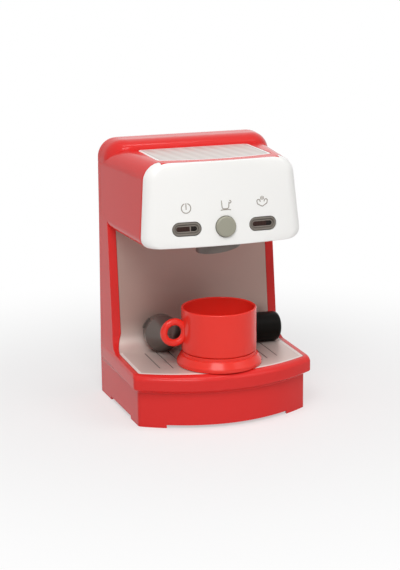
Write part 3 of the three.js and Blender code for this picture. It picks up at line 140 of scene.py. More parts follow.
@dataclass(frozen=True)
class Plan:
    """The outline of a form from above: a bowed front, straight tapering sides and rounded corners.

    The halves are half the width at the front corners and at the back; front and back are depths, the
    front's at its middle; the bow is how far the front corners lie behind that.
    """

    half_front: float
    half_back: float
    front: float
    back: float
    bow: float = 0.0
    front_radius: float = 0.0
    back_radius: float = 0.0

    def points(self, bow_steps: int = 32, corner_steps: int = 10) -> Array:
        """The outline, counterclockwise from the front left corner.

        The front is the parabola y = front + bow (x / half front) squared. A front corner's arc has its
        centre where the parabola and the side, each moved in by the radius, meet; halving finds it.

        Args:
            bow_steps: Stretches along the front.
            corner_steps: Stretches in each rounded corner.

        Returns:
            The points, one row each.
        """
        start = np.array([self.half_front, self.front + self.bow])
        along = unit(np.array([self.half_back, self.back]) - start)
        inward = np.array([-along[1], along[0]])
        sideways = math.atan2(-inward[1], -inward[0])

        def on_front(share: Union[float, Array]) -> Array:
            """The point at a share of the way from the middle of the front to its corner."""
            return np.stack([share * self.half_front, self.front + self.bow * np.square(share)], -1)

        def centre_at(share: float) -> Array:
            """The same point moved in by the radius."""
            normal = unit(np.array([-2 * self.bow * share, self.half_front]))
            return on_front(share) + self.front_radius * normal

        low, high = 0.0, 1.0
        for _ in range(40):
            middle = (low + high) / 2
            too_far = (centre_at(middle) - start) @ inward > self.front_radius
            low, high = (middle, high) if too_far else (low, middle)
        right = on_front(np.linspace(0, low if self.front_radius else 1.0, bow_steps // 2 + 1))
        if self.front_radius:
            centre = centre_at(low)
            first = right[-1] - centre
            corner = arc(centre, self.front_radius, math.atan2(first[1], first[0]), sideways, corner_steps)
            right = np.vstack([right, corner[1:]])
        corner = [[self.half_back, self.back]]
        if self.back_radius:
            y = self.back - self.back_radius
            x = start[0] + (self.back_radius - (y - start[1]) * inward[1]) / inward[0]
            corner = arc((x, y), self.back_radius, sideways, QUARTER, corner_steps)
        right = np.vstack([right, corner])
        return np.vstack([right, right[:0:-1] * np.array([-1, 1])])


# Surfaces


def shift(x: float = 0.0, y: float = 0.0, z: float = 0.0) -> Array:
    """The matrix that moves by x, y and z."""
    return np.array([[1, 0, 0, x], [0, 1, 0, y], [0, 0, 1, z], [0, 0, 0, 1]], float)


def turned(axis: str, angle: float) -> Array:
    """The matrix that turns about the X, Y or Z axis by an angle in radians."""
    return np.array(Matrix.Rotation(angle, 4, axis))


TO_BACK = turned("X", -QUARTER)
TO_RIGHT = turned("Y", QUARTER)
OUTWARD = turned("X", QUARTER)


@dataclass
class Surface:
    """The points, in millimetres, and the faces of one closed body."""

    points: Array
    faces: list[list[int]]

    def moved(self, matrix: Array) -> "Surface":
        """The same body at another place."""
        return Surface(self.points @ matrix[:3, :3].T + matrix[:3, 3], self.faces)

    def at(self, x: float = 0.0, y: float = 0.0, z: float = 0.0) -> "Surface":
        """The same body moved by x, y and z."""
        return self.moved(shift(x, y, z))

    def laid(self, x: float, z: float) -> "Surface":
        """The same body with its Z axis turned to the back, at x and z."""
        return self.moved(shift(x, 0, z) @ TO_BACK)

    def tipped(self) -> "Surface":
        """The same body with depth and height exchanged."""
        return Surface(self.points[:, [0, 2, 1]], self.faces)

    def to_mesh(self) -> bpy.types.Mesh:
        """The body as a mesh in metres, with its faces pointing outwards.

        The sign of the volume, which is a sixth of the sum of each face's triple products, tells
        whether the faces have to be turned round.

        Returns:
            The mesh.
        """
        corners = [[face[0], face[i], face[i + 1]] for face in self.faces for i in range(1, len(face) - 1)]
        a, b, c = self.points[np.array(corners).T]
        inside_out = np.einsum("ij,ij->i", a, np.cross(b, c)).sum() < 0
        faces = [face[::-1] for face in self.faces] if inside_out else self.faces
        mesh = bpy.data.meshes.new("body")
        mesh.from_pydata(self.points * MM, [], faces)
        mesh.update()
        return mesh


def both(bodies: Sequence[Surface]) -> Surface:
    """Several bodies that don't touch, as one.

    Args:
        bodies: The bodies.

    Returns:
        Their points one after another, with each body's faces numbered on from the last.
    """
    starts = np.cumsum([0, *(len(body.points) for body in bodies)])
    faces = [[i + start for i in face] for body, start in zip(bodies, starts.tolist()) for face in body.faces]
    return Surface(np.vstack([body.points for body in bodies]), faces)


def grid_faces(rows: int, columns: int, closed_rows: bool = False) -> list[list[int]]:
    """The quads of a grid of points that closes on itself along its columns.

    Args:
        rows: Number of rings.
        columns: Points in each ring.
        closed_rows: Whether the last ring joins the first.

    Returns:
        Four indices for each face.
    """
    row = np.arange(rows if closed_rows else rows - 1)[:, None]
    column = np.arange(columns)[None, :]
    nearer, further, across = row * columns, (row + 1) % rows * columns, (column + 1) % columns
    quads = [nearer + column, nearer + across, further + across, further + column]
    return np.stack(quads, -1).reshape(-1, 4).tolist()


def loft(rings: Iterable[Array]) -> Surface:
    """A body through rings of equal counts: point (s, i) is point i of ring s.

    Args:
        rings: The points of each ring.

    Returns:
        The body, with flat lids on the first and the last ring.
    """
    stack = np.stack([np.asarray(ring, float) for ring in rings])
    rows, columns = stack.shape[:2]
    lids = [list(range(columns))[::-1], list(range((rows - 1) * columns, rows * columns))]
    return Surface(stack.reshape(-1, 3), grid_faces(rows, columns) + lids)


def stacked(sections: Iterable[tuple[float, Array]]) -> Surface:
    """A loft through flat outlines, each at its own height."""
    return loft(np.column_stack([outline, np.full(len(outline), z)]) for z, outline in sections)


def drawn_out(outline: Array, low: float, high: float) -> Surface:
    """One outline carried from a height to another."""
    return stacked([(low, outline), (high, outline)])


def revolved(profile: Union[Array, Line], segments: int = 96, ring: bool = False) -> Surface:
    """A turned body: point (i, k) is (r cos t, r sin t, z) with r and z of profile point i and t of step k.

    Args:
        profile: Radius and height of each point, from the axis back to it.
        segments: Steps round the axis.
        ring: Whether the profile stays off the axis and its last point joins its first instead.

    Returns:
        The body, with one point at each pole.
    """
    profile = np.asarray(profile, float)
    open_profile = profile if ring else profile[1:-1]
    turn = np.arange(segments) * 2 * math.pi / segments
    radius, height = open_profile[:, :1], open_profile[:, 1:]
    grid = np.stack([radius * np.cos(turn), radius * np.sin(turn), height + 0 * turn], -1).reshape(-1, 3)
    faces = grid_faces(len(open_profile), segments, ring)
    if ring:
        return Surface(grid, faces)
    step = np.arange(segments)
    after, last = (step + 1) % segments, (len(open_profile) - 1) * segments
    faces += np.stack([np.full(segments, len(grid)), after, step], 1).tolist()
    faces += np.stack([np.full(segments, len(grid) + 1), last + step, last + after], 1).tolist()
    return Surface(np.vstack([grid, [[0, 0, profile[0, 1]], [0, 0, profile[-1, 1]]]]), faces)


def pill_loft(profile: Line, steps: int = 32) -> Surface:
    """A body through slots with round ends, each given as its length, width and height."""
    return stacked((z, pill(length, width, steps)) for length, width, z in profile)


def capsule(length: float, width: float, low: float, edge: Line, grow: float = -2.0) -> Line:
    """The slots of a pill from its low end up round a softened edge, for pill_loft."""
    return [(length, width, low), *((length + grow * d, width + grow * d, z) for d, z in edge)]


def block(x: Pair, y: Pair, z: Pair) -> Surface:
    """A box between two corners."""
    return drawn_out(np.array([[x[0], y[0]], [x[1], y[0]], [x[1], y[1]], [x[0], y[1]]]), *z)


def rod(radius: float, low: float, high: float, segments: int = 48) -> Surface:
    """A plain round rod along Z."""
    return revolved([(0, low), (radius, low), (radius, high), (0, high)], segments)


def ribbon(path: Array, out: Array, width: float, thickness: float) -> Surface:
    """A flat strip along a path: each path point carries a rectangle across the path and along out.

    Args:
        path: Points of the middle line.
        out: The direction that the strip's face looks in, one row for each point.
        width: Across.
        thickness: Along out.

    Returns:
        The strip.
    """
    ahead = np.roll(path, -1, 0) - np.roll(path, 1, 0)
    ahead[0], ahead[-1] = path[1] - path[0], path[-1] - path[-2]
    ahead /= np.linalg.norm(ahead, axis=1, keepdims=True)
    across = np.cross(ahead, out)
    across /= np.linalg.norm(across, axis=1, keepdims=True)
    signs = ((-1, -1), (1, -1), (1, 1), (-1, 1))
    return loft(np.stack([path + across * width * a / 2 + out * thickness * b / 2 for a, b in signs], 1))


# Solid work


class Join(Enum):
    """How two bodies are put together."""

    ADD = "UNION"
    TAKE = "DIFFERENCE"
    MEET = "INTERSECT"


class Body:
    """A closed mesh that is added to, cut and intersected."""

    def __init__(self, shape: Shape) -> None:
        """Starts as a surface's mesh, or as the mesh of another body."""
        self.mesh = shape.to_mesh() if isinstance(shape, Surface) else shape.mesh

    def _with(self, others: Iterable[Shape], how: Join) -> "Body":
        """Puts other bodies, one after another, to this one.

        Args:
            others: The other bodies.
            how: How they are put to it.

        Returns:
            The result as a new body.
        """
        holder = bpy.data.objects.new("work", self.mesh)
        items = [holder]
        for other in others:
            items.append(bpy.data.objects.new("tool", Body(other).mesh))
            modifier = holder.modifiers.new("put", "BOOLEAN")
            modifier.operation, modifier.solver, modifier.object = how.value, "MANIFOLD", items[-1]
        for item in items:
            bpy.context.scene.collection.objects.link(item)
        result = Body(self)
        worked_out = holder.evaluated_get(bpy.context.evaluated_depsgraph_get())
        result.mesh = bpy.data.meshes.new_from_object(worked_out)
        for item in items:
            bpy.data.objects.remove(item)
        if not len(result.mesh.polygons):
            raise ValueError("a body came out empty")
        return result

    def plus(self, *others: Shape) -> "Body":
        """This body with all the others."""
        return self._with(others, Join.ADD)

    def minus(self, *others: Shape) -> "Body":
        """This body without the others."""
        return self._with(others, Join.TAKE)

    def meet(self, other: Shape) -> "Body":
        """What both bodies hold."""
        return self._with([other], Join.MEET)

    def placed(self, matrix: Array) -> "Body":
        """This body, carried to another place by a matrix in millimetres."""
        self.mesh.transform(Matrix((matrix * IN_METRES).tolist()))
        return self


# Shader sums


class Value:
    """A socket whose sums and products add the nodes that work them out."""

    def __init__(self, shader: "Shader", socket: bpy.types.NodeSocket) -> None:
        """Keeps the shader that holds the socket, and the output that carries the value."""
        self.shader, self.socket = shader, socket

    def _sum(self, operation: str, *values: Any) -> "Value":
        """A Math node of this operation on the values."""
        return self.shader.value("ShaderNodeMath", {"operation": operation}, dict(enumerate(values)))

    def __add__(self, other: Any) -> "Value":
        """The sum."""
        return self._sum("ADD", self, other)

    def __sub__(self, other: Any) -> "Value":
        """The difference."""
        return self._sum("SUBTRACT", self, other)

    def __rsub__(self, other: Any) -> "Value":
        """The difference, the other way round."""
        return self._sum("SUBTRACT", other, self)

    def __mul__(self, other: Any) -> "Value":
        """The product."""
        return self._sum("MULTIPLY", self, other)

    __radd__, __rmul__ = __add__, __mul__

    def __truediv__(self, other: Any) -> "Value":
        """The quotient."""
        return self._sum("DIVIDE", self, other)

    def __abs__(self) -> "Value":
        """The value without its sign."""
        return self._sum("ABSOLUTE", self)

    def over(self, other: Any) -> "Value":
        """The larger of the two."""
        return self._sum("MAXIMUM", self, other)

    def under(self, other: Any) -> "Value":
        """The smaller of the two."""
        return self._sum("MINIMUM", self, other)

    def wave(self) -> "Value":
        """The sine."""
        return self._sum("SINE", self)

    def root(self) -> "Value":
        """The square root."""
        return self._sum("SQRT", self)

    def repeat(self, length: float) -> "Value":
        """How far the value is past the last whole number of lengths."""
        return self._sum("WRAP", self, length, 0.0)

    def rise(self, low: float, high: float) -> "Value":
        """A smooth step from zero at low to one at high."""
        sockets = {"Value": self, "From Min": low, "From Max": high, "To Min": 0.0, "To Max": 1.0}
        return self.shader.value("ShaderNodeMapRange", {"interpolation_type": "SMOOTHSTEP"}, sockets)


class Shader:
    """A material's nodes, built by plain calls."""

    def __init__(self, owner: Union[str, bpy.types.World]) -> None:
        """Clears the nodes and, in a material, lays the first ones.

        Args:
            owner: The new material's name, or the world that is dressed.
        """
        if isinstance(owner, bpy.types.World):
            self.tree = owner.node_tree
            self.tree.nodes.clear()
            return
        self.material = bpy.data.materials.new(owner)
        self.material.use_nodes = True
        self.tree = self.material.node_tree
        self.tree.nodes.clear()
        self.output = self.node("ShaderNodeOutputMaterial")
        self.principled = self.node("ShaderNodeBsdfPrincipled")
        self.tree.links.new(self.principled.outputs[0], self.output.inputs["Surface"])
        place = {"Vector": self.value("ShaderNodeTexCoord", output="Object"), "Scale": 1 / MM}
        self.place = self.value("ShaderNodeVectorMath", {"operation": "SCALE"}, place)

    def node(self, kind: str, settings: Any = None, sockets: Any = None) -> bpy.types.Node:
        """Adds a node.

        Args:
            kind: The node's type.
            settings: Its own settings, which are set first.
            sockets: A value, a socket or a Value for each named or numbered input.

        Returns:
            The node.
        """
        node = self.tree.nodes.new(kind)
        for key, value in (settings or {}).items():
            setattr(node, key, value)
        for key, value in (sockets or {}).items():
            self.feed(node.inputs[key], value)
        return node

    def value(self, kind: str, settings: Any = None, sockets: Any = None, output: Any = 0) -> Value:
        """One output of a new node, which is added in the same way."""
        return Value(self, self.node(kind, settings, sockets).outputs[output])

    def feed(self, target: bpy.types.NodeSocket, value: Any) -> None:
        """Feeds an input.

        Args:
            target: The input.
            value: A socket or a Value, which is linked, or a plain value, which is set.
        """
        value = value.socket if isinstance(value, Value) else value
        if isinstance(value, bpy.types.NodeSocket):
            self.tree.links.new(value, target)
        else:
            target.default_value = (*value, 1.0) if target.type == "RGBA" else value

    def axes(self) -> tuple[Value, Value, Value]:
        """The place in millimetres along X, Y and Z."""
        split = self.node("ShaderNodeSeparateXYZ", None, {0: self.place})
        return tuple(Value(self, split.outputs[k]) for k in range(3))

    def noise(self, size: float, detail: float = 2.0, stretch: Sequence[float] = (1, 1, 1)) -> Value:
        """Cloudy noise from zero to one.

        Args:
            size: The size of its patches in millimetres.
            detail: How many finer layers it has.
            stretch: How much longer the patches are along each axis.

        Returns:
            The noise.
        """
        place = self.place
        if tuple(stretch) != (1, 1, 1):
            scale = tuple(1 / s for s in stretch)
            place = self.value("ShaderNodeMapping", None, {"Vector": place, "Scale": scale})
        return self.value("ShaderNodeTexNoise", None, {"Vector": place, "Scale": 1 / size, "Detail": detail})

    def blend(self, factor: Value, low: Any, high: Any) -> Value:
        """A colour between low, where the factor is zero, and high, where it is one."""
        sockets = {"Factor": factor, 6: low, 7: high}
        return self.value("ShaderNodeMix", {"data_type": "RGBA"}, sockets, 2)

    def looked_at(self) -> Value:
        """Tells the rays from the camera, and those that mirrors and glass send on, from the rest.

        Returns:
            One for them and zero for the rest.
        """
        path = self.node("ShaderNodeLightPath")
        seen = Value(self, path.outputs["Is Camera Ray"])
        for kind in ("Is Glossy Ray", "Is Transmission Ray"):
            seen = seen.over(Value(self, path.outputs[kind]))
        return seen

    def relief(self, height: Value, depth: float) -> None:
        """Bumps the surface by a height, from zero to one, times a depth in millimetres."""
        sockets = {"Height": height, "Distance": depth * MM, "Strength": 1.0}
        self.set(Normal=self.value("ShaderNodeBump", None, sockets))

    def set(self, **sockets: Any) -> None:
        """Sets or links the shader's own sockets; an underscore stands for a space."""
        for key, value in sockets.items():
            self.feed(self.principled.inputs[key.replace("_", " ")], value)


def tinted(colour: Colour, factor: float) -> Colour:
    """The colour made lighter or darker by a factor."""
    return tuple(min(1.0, part * factor) for part in colour)


def from_edge(x: Value, y: Value, half: float, front: float, bow: float) -> Value:
    """How far a place lies inside a sheet's sides and its bowed front."""
    return (half - abs(x)).under(y - (x * x * (bow / half**2) + front))


# Finishes


class Recipe:
    """A finish: each kind lays its own nodes."""

    name: str

    def lay(self, s: Shader) -> None:
        """Lays the nodes on a fresh shader."""

    def material(self) -> bpy.types.Material:
        """Makes the material.

        Returns:
            The finished material.
        """
        shader = Shader(self.name)
        self.lay(shader)
        return shader.material


@dataclass(frozen=True)
class Plastic(Recipe):
    """Moulded plastic: faint flow marks in its colour, fine wear in its gloss and a fine skin.

    The coat is a clear outer gloss; skin and skin size are the depth and size of the moulded skin's
    patches in millimetres; mottle and wear are how far colour and roughness vary; metallic is the share
    of metal flake; soft is how far light goes under the skin; shine is how strongly it mirrors.
    """

    name: str
    colour: Colour
    roughness: float
    coat: float = 0.0
    skin: float = 0.01
    skin_size: float = 1.2
    mottle: float = 0.05
    wear: float = 0.08
    metallic: float = 0.0
    soft: float = 0.0
    shine: float = 0.4

    def lay(self, s: Shader) -> None:
        """Lays the flow marks, the wear and the skin.

        Args:
            s: The shader.
        """
        tone = s.noise(28.0, 3.0, (1, 1, 2.5)) * 0.8 + s.noise(0.35, 1.0) * 0.2
        rubbed = s.noise(9.0, 4.0).rise(0.35, 0.75)
        lines = s.noise(0.5, 2.0, (14, 1, 1)).rise(0.62, 0.74)
        low, high = (tinted(self.colour, share) for share in (1 - self.mottle, 1 + self.mottle))
        s.set(
            Base_Color=s.blend(tone, low, high),
            Roughness=(rubbed * 0.6 + lines * 0.4) * (2 * self.wear) + (self.roughness - self.wear),
            Metallic=self.metallic,
            Specular_IOR_Level=self.shine,
            Coat_Weight=self.coat,
            Coat_Roughness=0.12,
        )
        if self.soft:
            s.set(Subsurface_Weight=self.soft, Subsurface_Radius=(0.004, 0.001, 0.0008), Subsurface_Scale=0.5)
        s.relief(s.noise(self.skin_size, 2.0) * 0.5 + s.noise(18.0, 1.0) * 0.5, self.skin)


@dataclass(frozen=True)
class Steel(Recipe):
    """Plated steel with fine drawn lines and a few dull spots."""

    name: str = "plated_steel"
    colour: Colour = (0.56, 0.57, 0.58)
    roughness: float = 0.3

    def lay(self, s: Shader) -> None:
        """Lays the drawn lines and the spots.

        Args:
            s: The shader.
        """
        drawn = s.noise(0.12, 2.0, (1, 1, 9))
        spots = s.noise(2.2, 3.0).rise(0.55, 0.7)
        s.set(
            Base_Color=s.blend(spots, self.colour, tinted(self.colour, 0.7)),
            Metallic=1.0,
            Roughness=drawn * 0.12 + spots * 0.18 + (self.roughness - 0.06),
        )
        s.relief(drawn, 0.006)


@dataclass(frozen=True)
class Foil(Recipe):
    """The silver film on the tray and the splash wall: fine flake, with a paler rim round the tray.

    Half is half the tray's width, front and bow give its front edge, and floor is its height.
    Up the splash wall the film is painted darker and browner, as painted shade under the head;
    below the tray's face it is painted dark, as painted shade in the grooves and on the sheet's sunk edges.
    """

    half: float
    front: float
    bow: float
    floor: float
    rim: float = 3.0
    name: str = "silver_film"
    # Painted shade: the dark colour below the tray's face, in the grooves, which draw the tray's dark lines,
    # and on the sheet's sunk edges.
    groove: Colour = (0.26, 0.20, 0.19)
    edge: Colour = (0.86, 0.790, 0.750)
    lying: Shades = ((0.62, 0.510, 0.465), (0.76, 0.645, 0.592))
    # Painted shade: the darker, browner film of the splash wall stands for the shade under the head.
    upright_painted_shade: Shades = ((0.39, 0.262, 0.225), (0.495, 0.345, 0.298))

    def lay(self, s: Shader) -> None:
        """Lays the flake, the rim, the painted shade up the splash wall and the painted shade in the grooves.

        Args:
            s: The shader.
        """
        x, y, z = s.axes()
        on_tray = (z * -1.0 + (self.floor + 1.2)).rise(0.0, 1.0)
        to_rim = self.rim + 0.25 - from_edge(x, y, self.half, self.front, self.bow)
        rim = to_rim.rise(0.0, 0.5) * on_tray
        flake, cloud = s.noise(0.22, 1.0), s.noise(26.0, 2.0)
        tone = flake * 0.6 + cloud * 0.4
        shades = s.blend(tone, *self.lying), s.blend(tone, *self.upright_painted_shade)
        # Painted shade: up the splash wall the film blends into the darker upright colours.
        film = s.blend((z - self.floor).rise(2.0, 30.0), *shades)
        pale = s.blend(rim, film, self.edge)
        s.set(
            # Painted shade: below the tray's face the film turns dark, in the grooves and on the sheet's sunk
            # edges.
            Base_Color=s.blend((z * -1.0 + self.floor).rise(0.1, 0.3), pale, self.groove),
            Metallic=(1 - rim) * 0.3,
            Roughness=flake * 0.1 + cloud * 0.08 + rim * 0.08 + 0.32,
        )
        s.relief(flake * 0.7 + s.noise(1.6, 1.0) * 0.3, 0.012)


@dataclass(frozen=True)
class StripedPlate(Recipe):
    """The pale plate on the head: soft slanted bands, a pitch apart, inside a plain rim with a fine line."""

    half: float
    front: float
    back: float
    bow: float
    rim: float = 3.4
    pitch: float = 12.2
    slant: float = 0.16
    name: str = "striped_plate"
    line: Colour = (0.40, 0.37, 0.35)
    bands: Shades = ((0.575, 0.535, 0.500), (0.720, 0.685, 0.650))
    plain: Shades = ((0.90, 0.88, 0.855), (0.93, 0.91, 0.885))

    def lay(self, s: Shader) -> None:
        """Lays the bands, the rim and the line.

        Args:
            s: The shader.
        """
        x, y, _ = s.axes()
        edge = from_edge(x, y, self.half, self.front, self.bow).under(self.back - y) - self.rim
        inside = edge.rise(-0.15, 0.15)
        along = (x + y * self.slant + s.noise(40.0, 1.0) * 2.0).repeat(self.pitch)
        band = (along * (math.tau / self.pitch)).wave() * 0.5 + 0.5
        flake = s.noise(0.25, 1.0)
        field = s.blend(inside, s.blend(flake, *self.plain), s.blend(band * 0.8 + flake * 0.2, *self.bands))
        line = (1 - abs(edge).rise(0.35, 0.8)) * 0.85
        s.set(
            Base_Color=s.blend(line, field, self.line),
            Metallic=inside * 0.15,
            Roughness=flake * 0.06 + band * 0.08 + 0.28,
        )
        s.relief(flake * 0.3 + inside * 0.7, 0.03)


@dataclass(frozen=True)
class Lens(Recipe):
    """A smoked red window: a ribbed part, a dark end past the split and, if divided, a bar between.

    The rib is the ribs' turn in radians for each millimetre.
    """

    name: str
    split: float
    divided: bool
    rib: float = 4.2
    bar: Colour = (0.30, 0.255, 0.225)
    ribbed: Shades = ((0.010, 0.004, 0.003), (0.062, 0.026, 0.019))
    dotted: Shades = ((0.004, 0.003, 0.002), (0.042, 0.026, 0.020))

    def lay(self, s: Shader) -> None:
        """Lays the ribs, the dotted end and the bar.

        Args:
            s: The shader.
        """
        x, _, z = s.axes()
        ribs = (x * self.rib).wave() * 0.5 + 0.5
        cloud = s.noise(2.0, 2.0)
        dots = (ribs * 0.5 + (z * self.rib).wave() * 0.5).rise(0.55, 0.8)
        shades = s.blend(ribs * 0.6 + cloud * 0.4, *self.ribbed), s.blend(dots, *self.dotted)
        colour = s.blend((x - self.split).rise(-0.2, 0.2), *shades)
        if self.divided:
            colour = s.blend(1 - abs(x - self.split).rise(0.45, 0.6), colour, self.bar)
        s.set(Base_Color=colour, Roughness=cloud * 0.1 + 0.16, Specular_IOR_Level=0.18)
        s.relief(ribs, 0.03)


@dataclass(frozen=True)
class Board(Recipe):
    """A circuit board: green lacquer over copper tracks, a pitch apart, with pads in cells of one step."""

    name: str = "green_board"
    pitch: float = 3.2
    pad_step: float = 6.0
    lacquer: Shades = ((0.012, 0.10, 0.035), (0.03, 0.19, 0.06))
    pad: Colour = (0.62, 0.55, 0.42)

    def lay(self, s: Shader) -> None:
        """Lays the tracks and the pads.

        Args:
            s: The shader.
        """
        x, _, z = s.axes()
        level = (z + (x / 14.0).wave() * 3.0).repeat(self.pitch)
        track = level.rise(0.9, 1.1) * (1 - level.rise(2.0, 2.2))
        cells = {"Vector": s.place, "Scale": 1 / self.pad_step}
        pads = 1 - s.value("ShaderNodeTexVoronoi", {"feature": "F1"}, cells, "Distance").rise(0.14, 0.17)
        s.set(
            Base_Color=s.blend(pads, s.blend(track, *self.lacquer), self.pad),
            Metallic=pads * 0.8,
            Roughness=s.noise(4.0, 2.0) * 0.15 + 0.3,
        )
        s.relief(track * 0.5 + pads * 0.5, 0.05)


@dataclass(frozen=True)
class Sleeve(Recipe):
    """A cell's printed sleeve between two heights: blue with a pale band near its top, over bare ends."""

    low: float
    high: float
    name: str
    band: float = 12.0
    metal: Colour = (0.6, 0.6, 0.6)
    paper: Shades = ((0.03, 0.10, 0.26), (0.62, 0.64, 0.66))

    def lay(self, s: Shader) -> None:
        """Lays the sleeve, its band and the metal's grain.

        Args:
            s: The shader.
        """
        _, _, z = s.axes()
        sleeve = (z - self.low).rise(-0.1, 0.1) * (1 - (z - self.high).rise(-0.1, 0.1))
        band = (z - (self.high - self.band)).rise(-0.1, 0.1) * sleeve
        grain = s.noise(0.5, 2.0, (1, 1, 6))
        s.set(
            Base_Color=s.blend(sleeve, self.metal, s.blend(band, *self.paper)),
            Metallic=1 - sleeve * 0.9,
            Roughness=grain * 0.12 + 0.24,
        )
        s.relief(grain, 0.01)


@dataclass(frozen=True)
class Cone(Recipe):
    """The loudspeaker's paper cone: dark fibres with pressed rings about its centre.

    The ring is the rings' turn in radians for each millimetre.
    """

    centre: float
    ring: float = 4.2
    name: str = "paper_cone"
    paper: Shades = ((0.012, 0.011, 0.010), (0.045, 0.040, 0.035))

    def lay(self, s: Shader) -> None:
        """Lays the fibres and the rings.

        Args:
            s: The shader.
        """
        x, y, _ = s.axes()
        along = y - self.centre
        rings = ((x * x + along * along).root() * self.ring).wave() * 0.5 + 0.5
        fibre = s.noise(0.4, 4.0)
        s.set(
            Base_Color=s.blend(fibre, *self.paper),
            Roughness=fibre * 0.2 + 0.7,
        )
        s.relief(rings * 0.6 + fibre * 0.4, 0.15)


class Finish(Enum):
    """The plain finishes, by what they are on: name, colour, roughness, coat, skin, skin size and mottle."""

    RED = Plastic("glossy_red", (0.730, 0.030, 0.027), 0.2, 0.03, 0.004, mottle=0.03, wear=0.05, shine=0.16)
    PLAY_RED = Plastic("orange_red", (0.840, 0.038, 0.024), 0.24, 0.06, 0.003, 1.2, 0.02, 0.04, soft=0.35,
                       shine=0.25)
    WHITE = Plastic("satin_white", (0.925, 0.918, 0.895), 0.32, 0.1, 0.002, mottle=0.006, wear=0.04)
    BUTTON = Plastic("warm_grey", (0.335, 0.325, 0.258), 0.42, 0.0, 0.012, 0.5, 0.03)
    BEZEL = Plastic("bezel_grey", (0.205, 0.182, 0.156), 0.4, 0.0, 0.010, 0.5, 0.04)
    FRAME = Plastic("frame_grey", (0.260, 0.225, 0.195), 0.45, 0.0, 0.010, 0.5, 0.06, shine=0.3)
    COLLAR = Plastic("collar_grey", (0.125, 0.102, 0.090), 0.4, skin=0.006, metallic=0.25, mottle=0.04)
    BLACK = Plastic("satin_black", (0.0042, 0.0036, 0.0028), 0.42, 0.0, 0.02, 0.6, 0.12, shine=0.07)
    BOX = Plastic("box_grey", (0.085, 0.085, 0.088), 0.5, 0.0, 0.02, 0.7, 0.1)
    INK = Plastic("sign_ink", (0.330, 0.295, 0.255), 0.5, skin=0.004)
    SILICONE = Plastic("silicone", (0.760, 0.740, 0.690), 0.62, skin=0.015, mottle=0.03, soft=0.15)
    LAMP = Plastic("clear_red", (0.620, 0.030, 0.020), 0.12, 0.5, 0.003, soft=0.3)
    RED_WIRE = Plastic("red_wire", (0.430, 0.015, 0.012), 0.45, mottle=0.06)
    BLACK_WIRE = Plastic("black_wire", (0.013, 0.013, 0.013), 0.45, mottle=0.1)
    GREY_WIRE = Plastic("grey_wire", (0.180, 0.185, 0.190), 0.45, mottle=0.06)


@cache
def material_of(finish: Union[Finish, Recipe]) -> bpy.types.Material:
    """The material of a finish, made when first asked for."""
    return (finish.value if isinstance(finish, Finish) else finish).material()


# Pieces


@dataclass
class Piece:
    """A new piece: the body that carries it, a slot that is not used, its finish and the nodes it replaces.

    Sharp is the angle in radians past which an edge stays sharp.
    """

    name: str
    rides_on: str
    slot: str
    finish: Union[Finish, Recipe]
    stands_for: tuple[str, ...] = ()
    sharp: float = math.radians(34.0)

    def made_of(self, shape: Shape) -> bpy.types.Object:
        """Puts the piece into the scene.

        Args:
            shape: Its surface or body.

        Returns:
            The finished object.
        """
        mesh = Body(shape).mesh
        mesh.name = self.name
        mesh.materials.clear()
        mesh.materials.append(material_of(self.finish))
        mesh.polygons.foreach_set("use_smooth", np.ones(len(mesh.polygons), bool))
        mesh.polygons.foreach_set("material_index", np.zeros(len(mesh.polygons), np.int32))
        mesh.set_sharp_from_angle(angle=self.sharp)
        item = bpy.data.objects.new(self.name, mesh)
        bpy.context.scene.collection.objects.link(item)
        weighted = item.modifiers.new("weighted", "WEIGHTED_NORMAL")
        weighted.keep_sharp, weighted.weight = True, 60
        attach(item, self.rides_on)
        if self.stands_for:
            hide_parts(*self.stands_for)
        LOG.info("%s rides on %s, %d faces", self.name, self.rides_on, len(mesh.polygons))
        return item


# The casing's forms


def arc_pull(distance: float, radius: float) -> float:
    """How far a rounded edge has drawn in at a distance from its end face."""
    rest = max(radius - distance, 0.0)
    return radius - math.sqrt(max(radius**2 - rest**2, 0.0))


def arc_heights(radii: Sequence[float], steps: int = 12) -> Array:
    """Distances from an end face at which roundings of these radii are cut into rings."""
    turn = np.linspace(0, QUARTER, steps + 1)
    return np.unique(np.round(np.concatenate([r * (1 - np.cos(turn)) for r in radii]), 4))


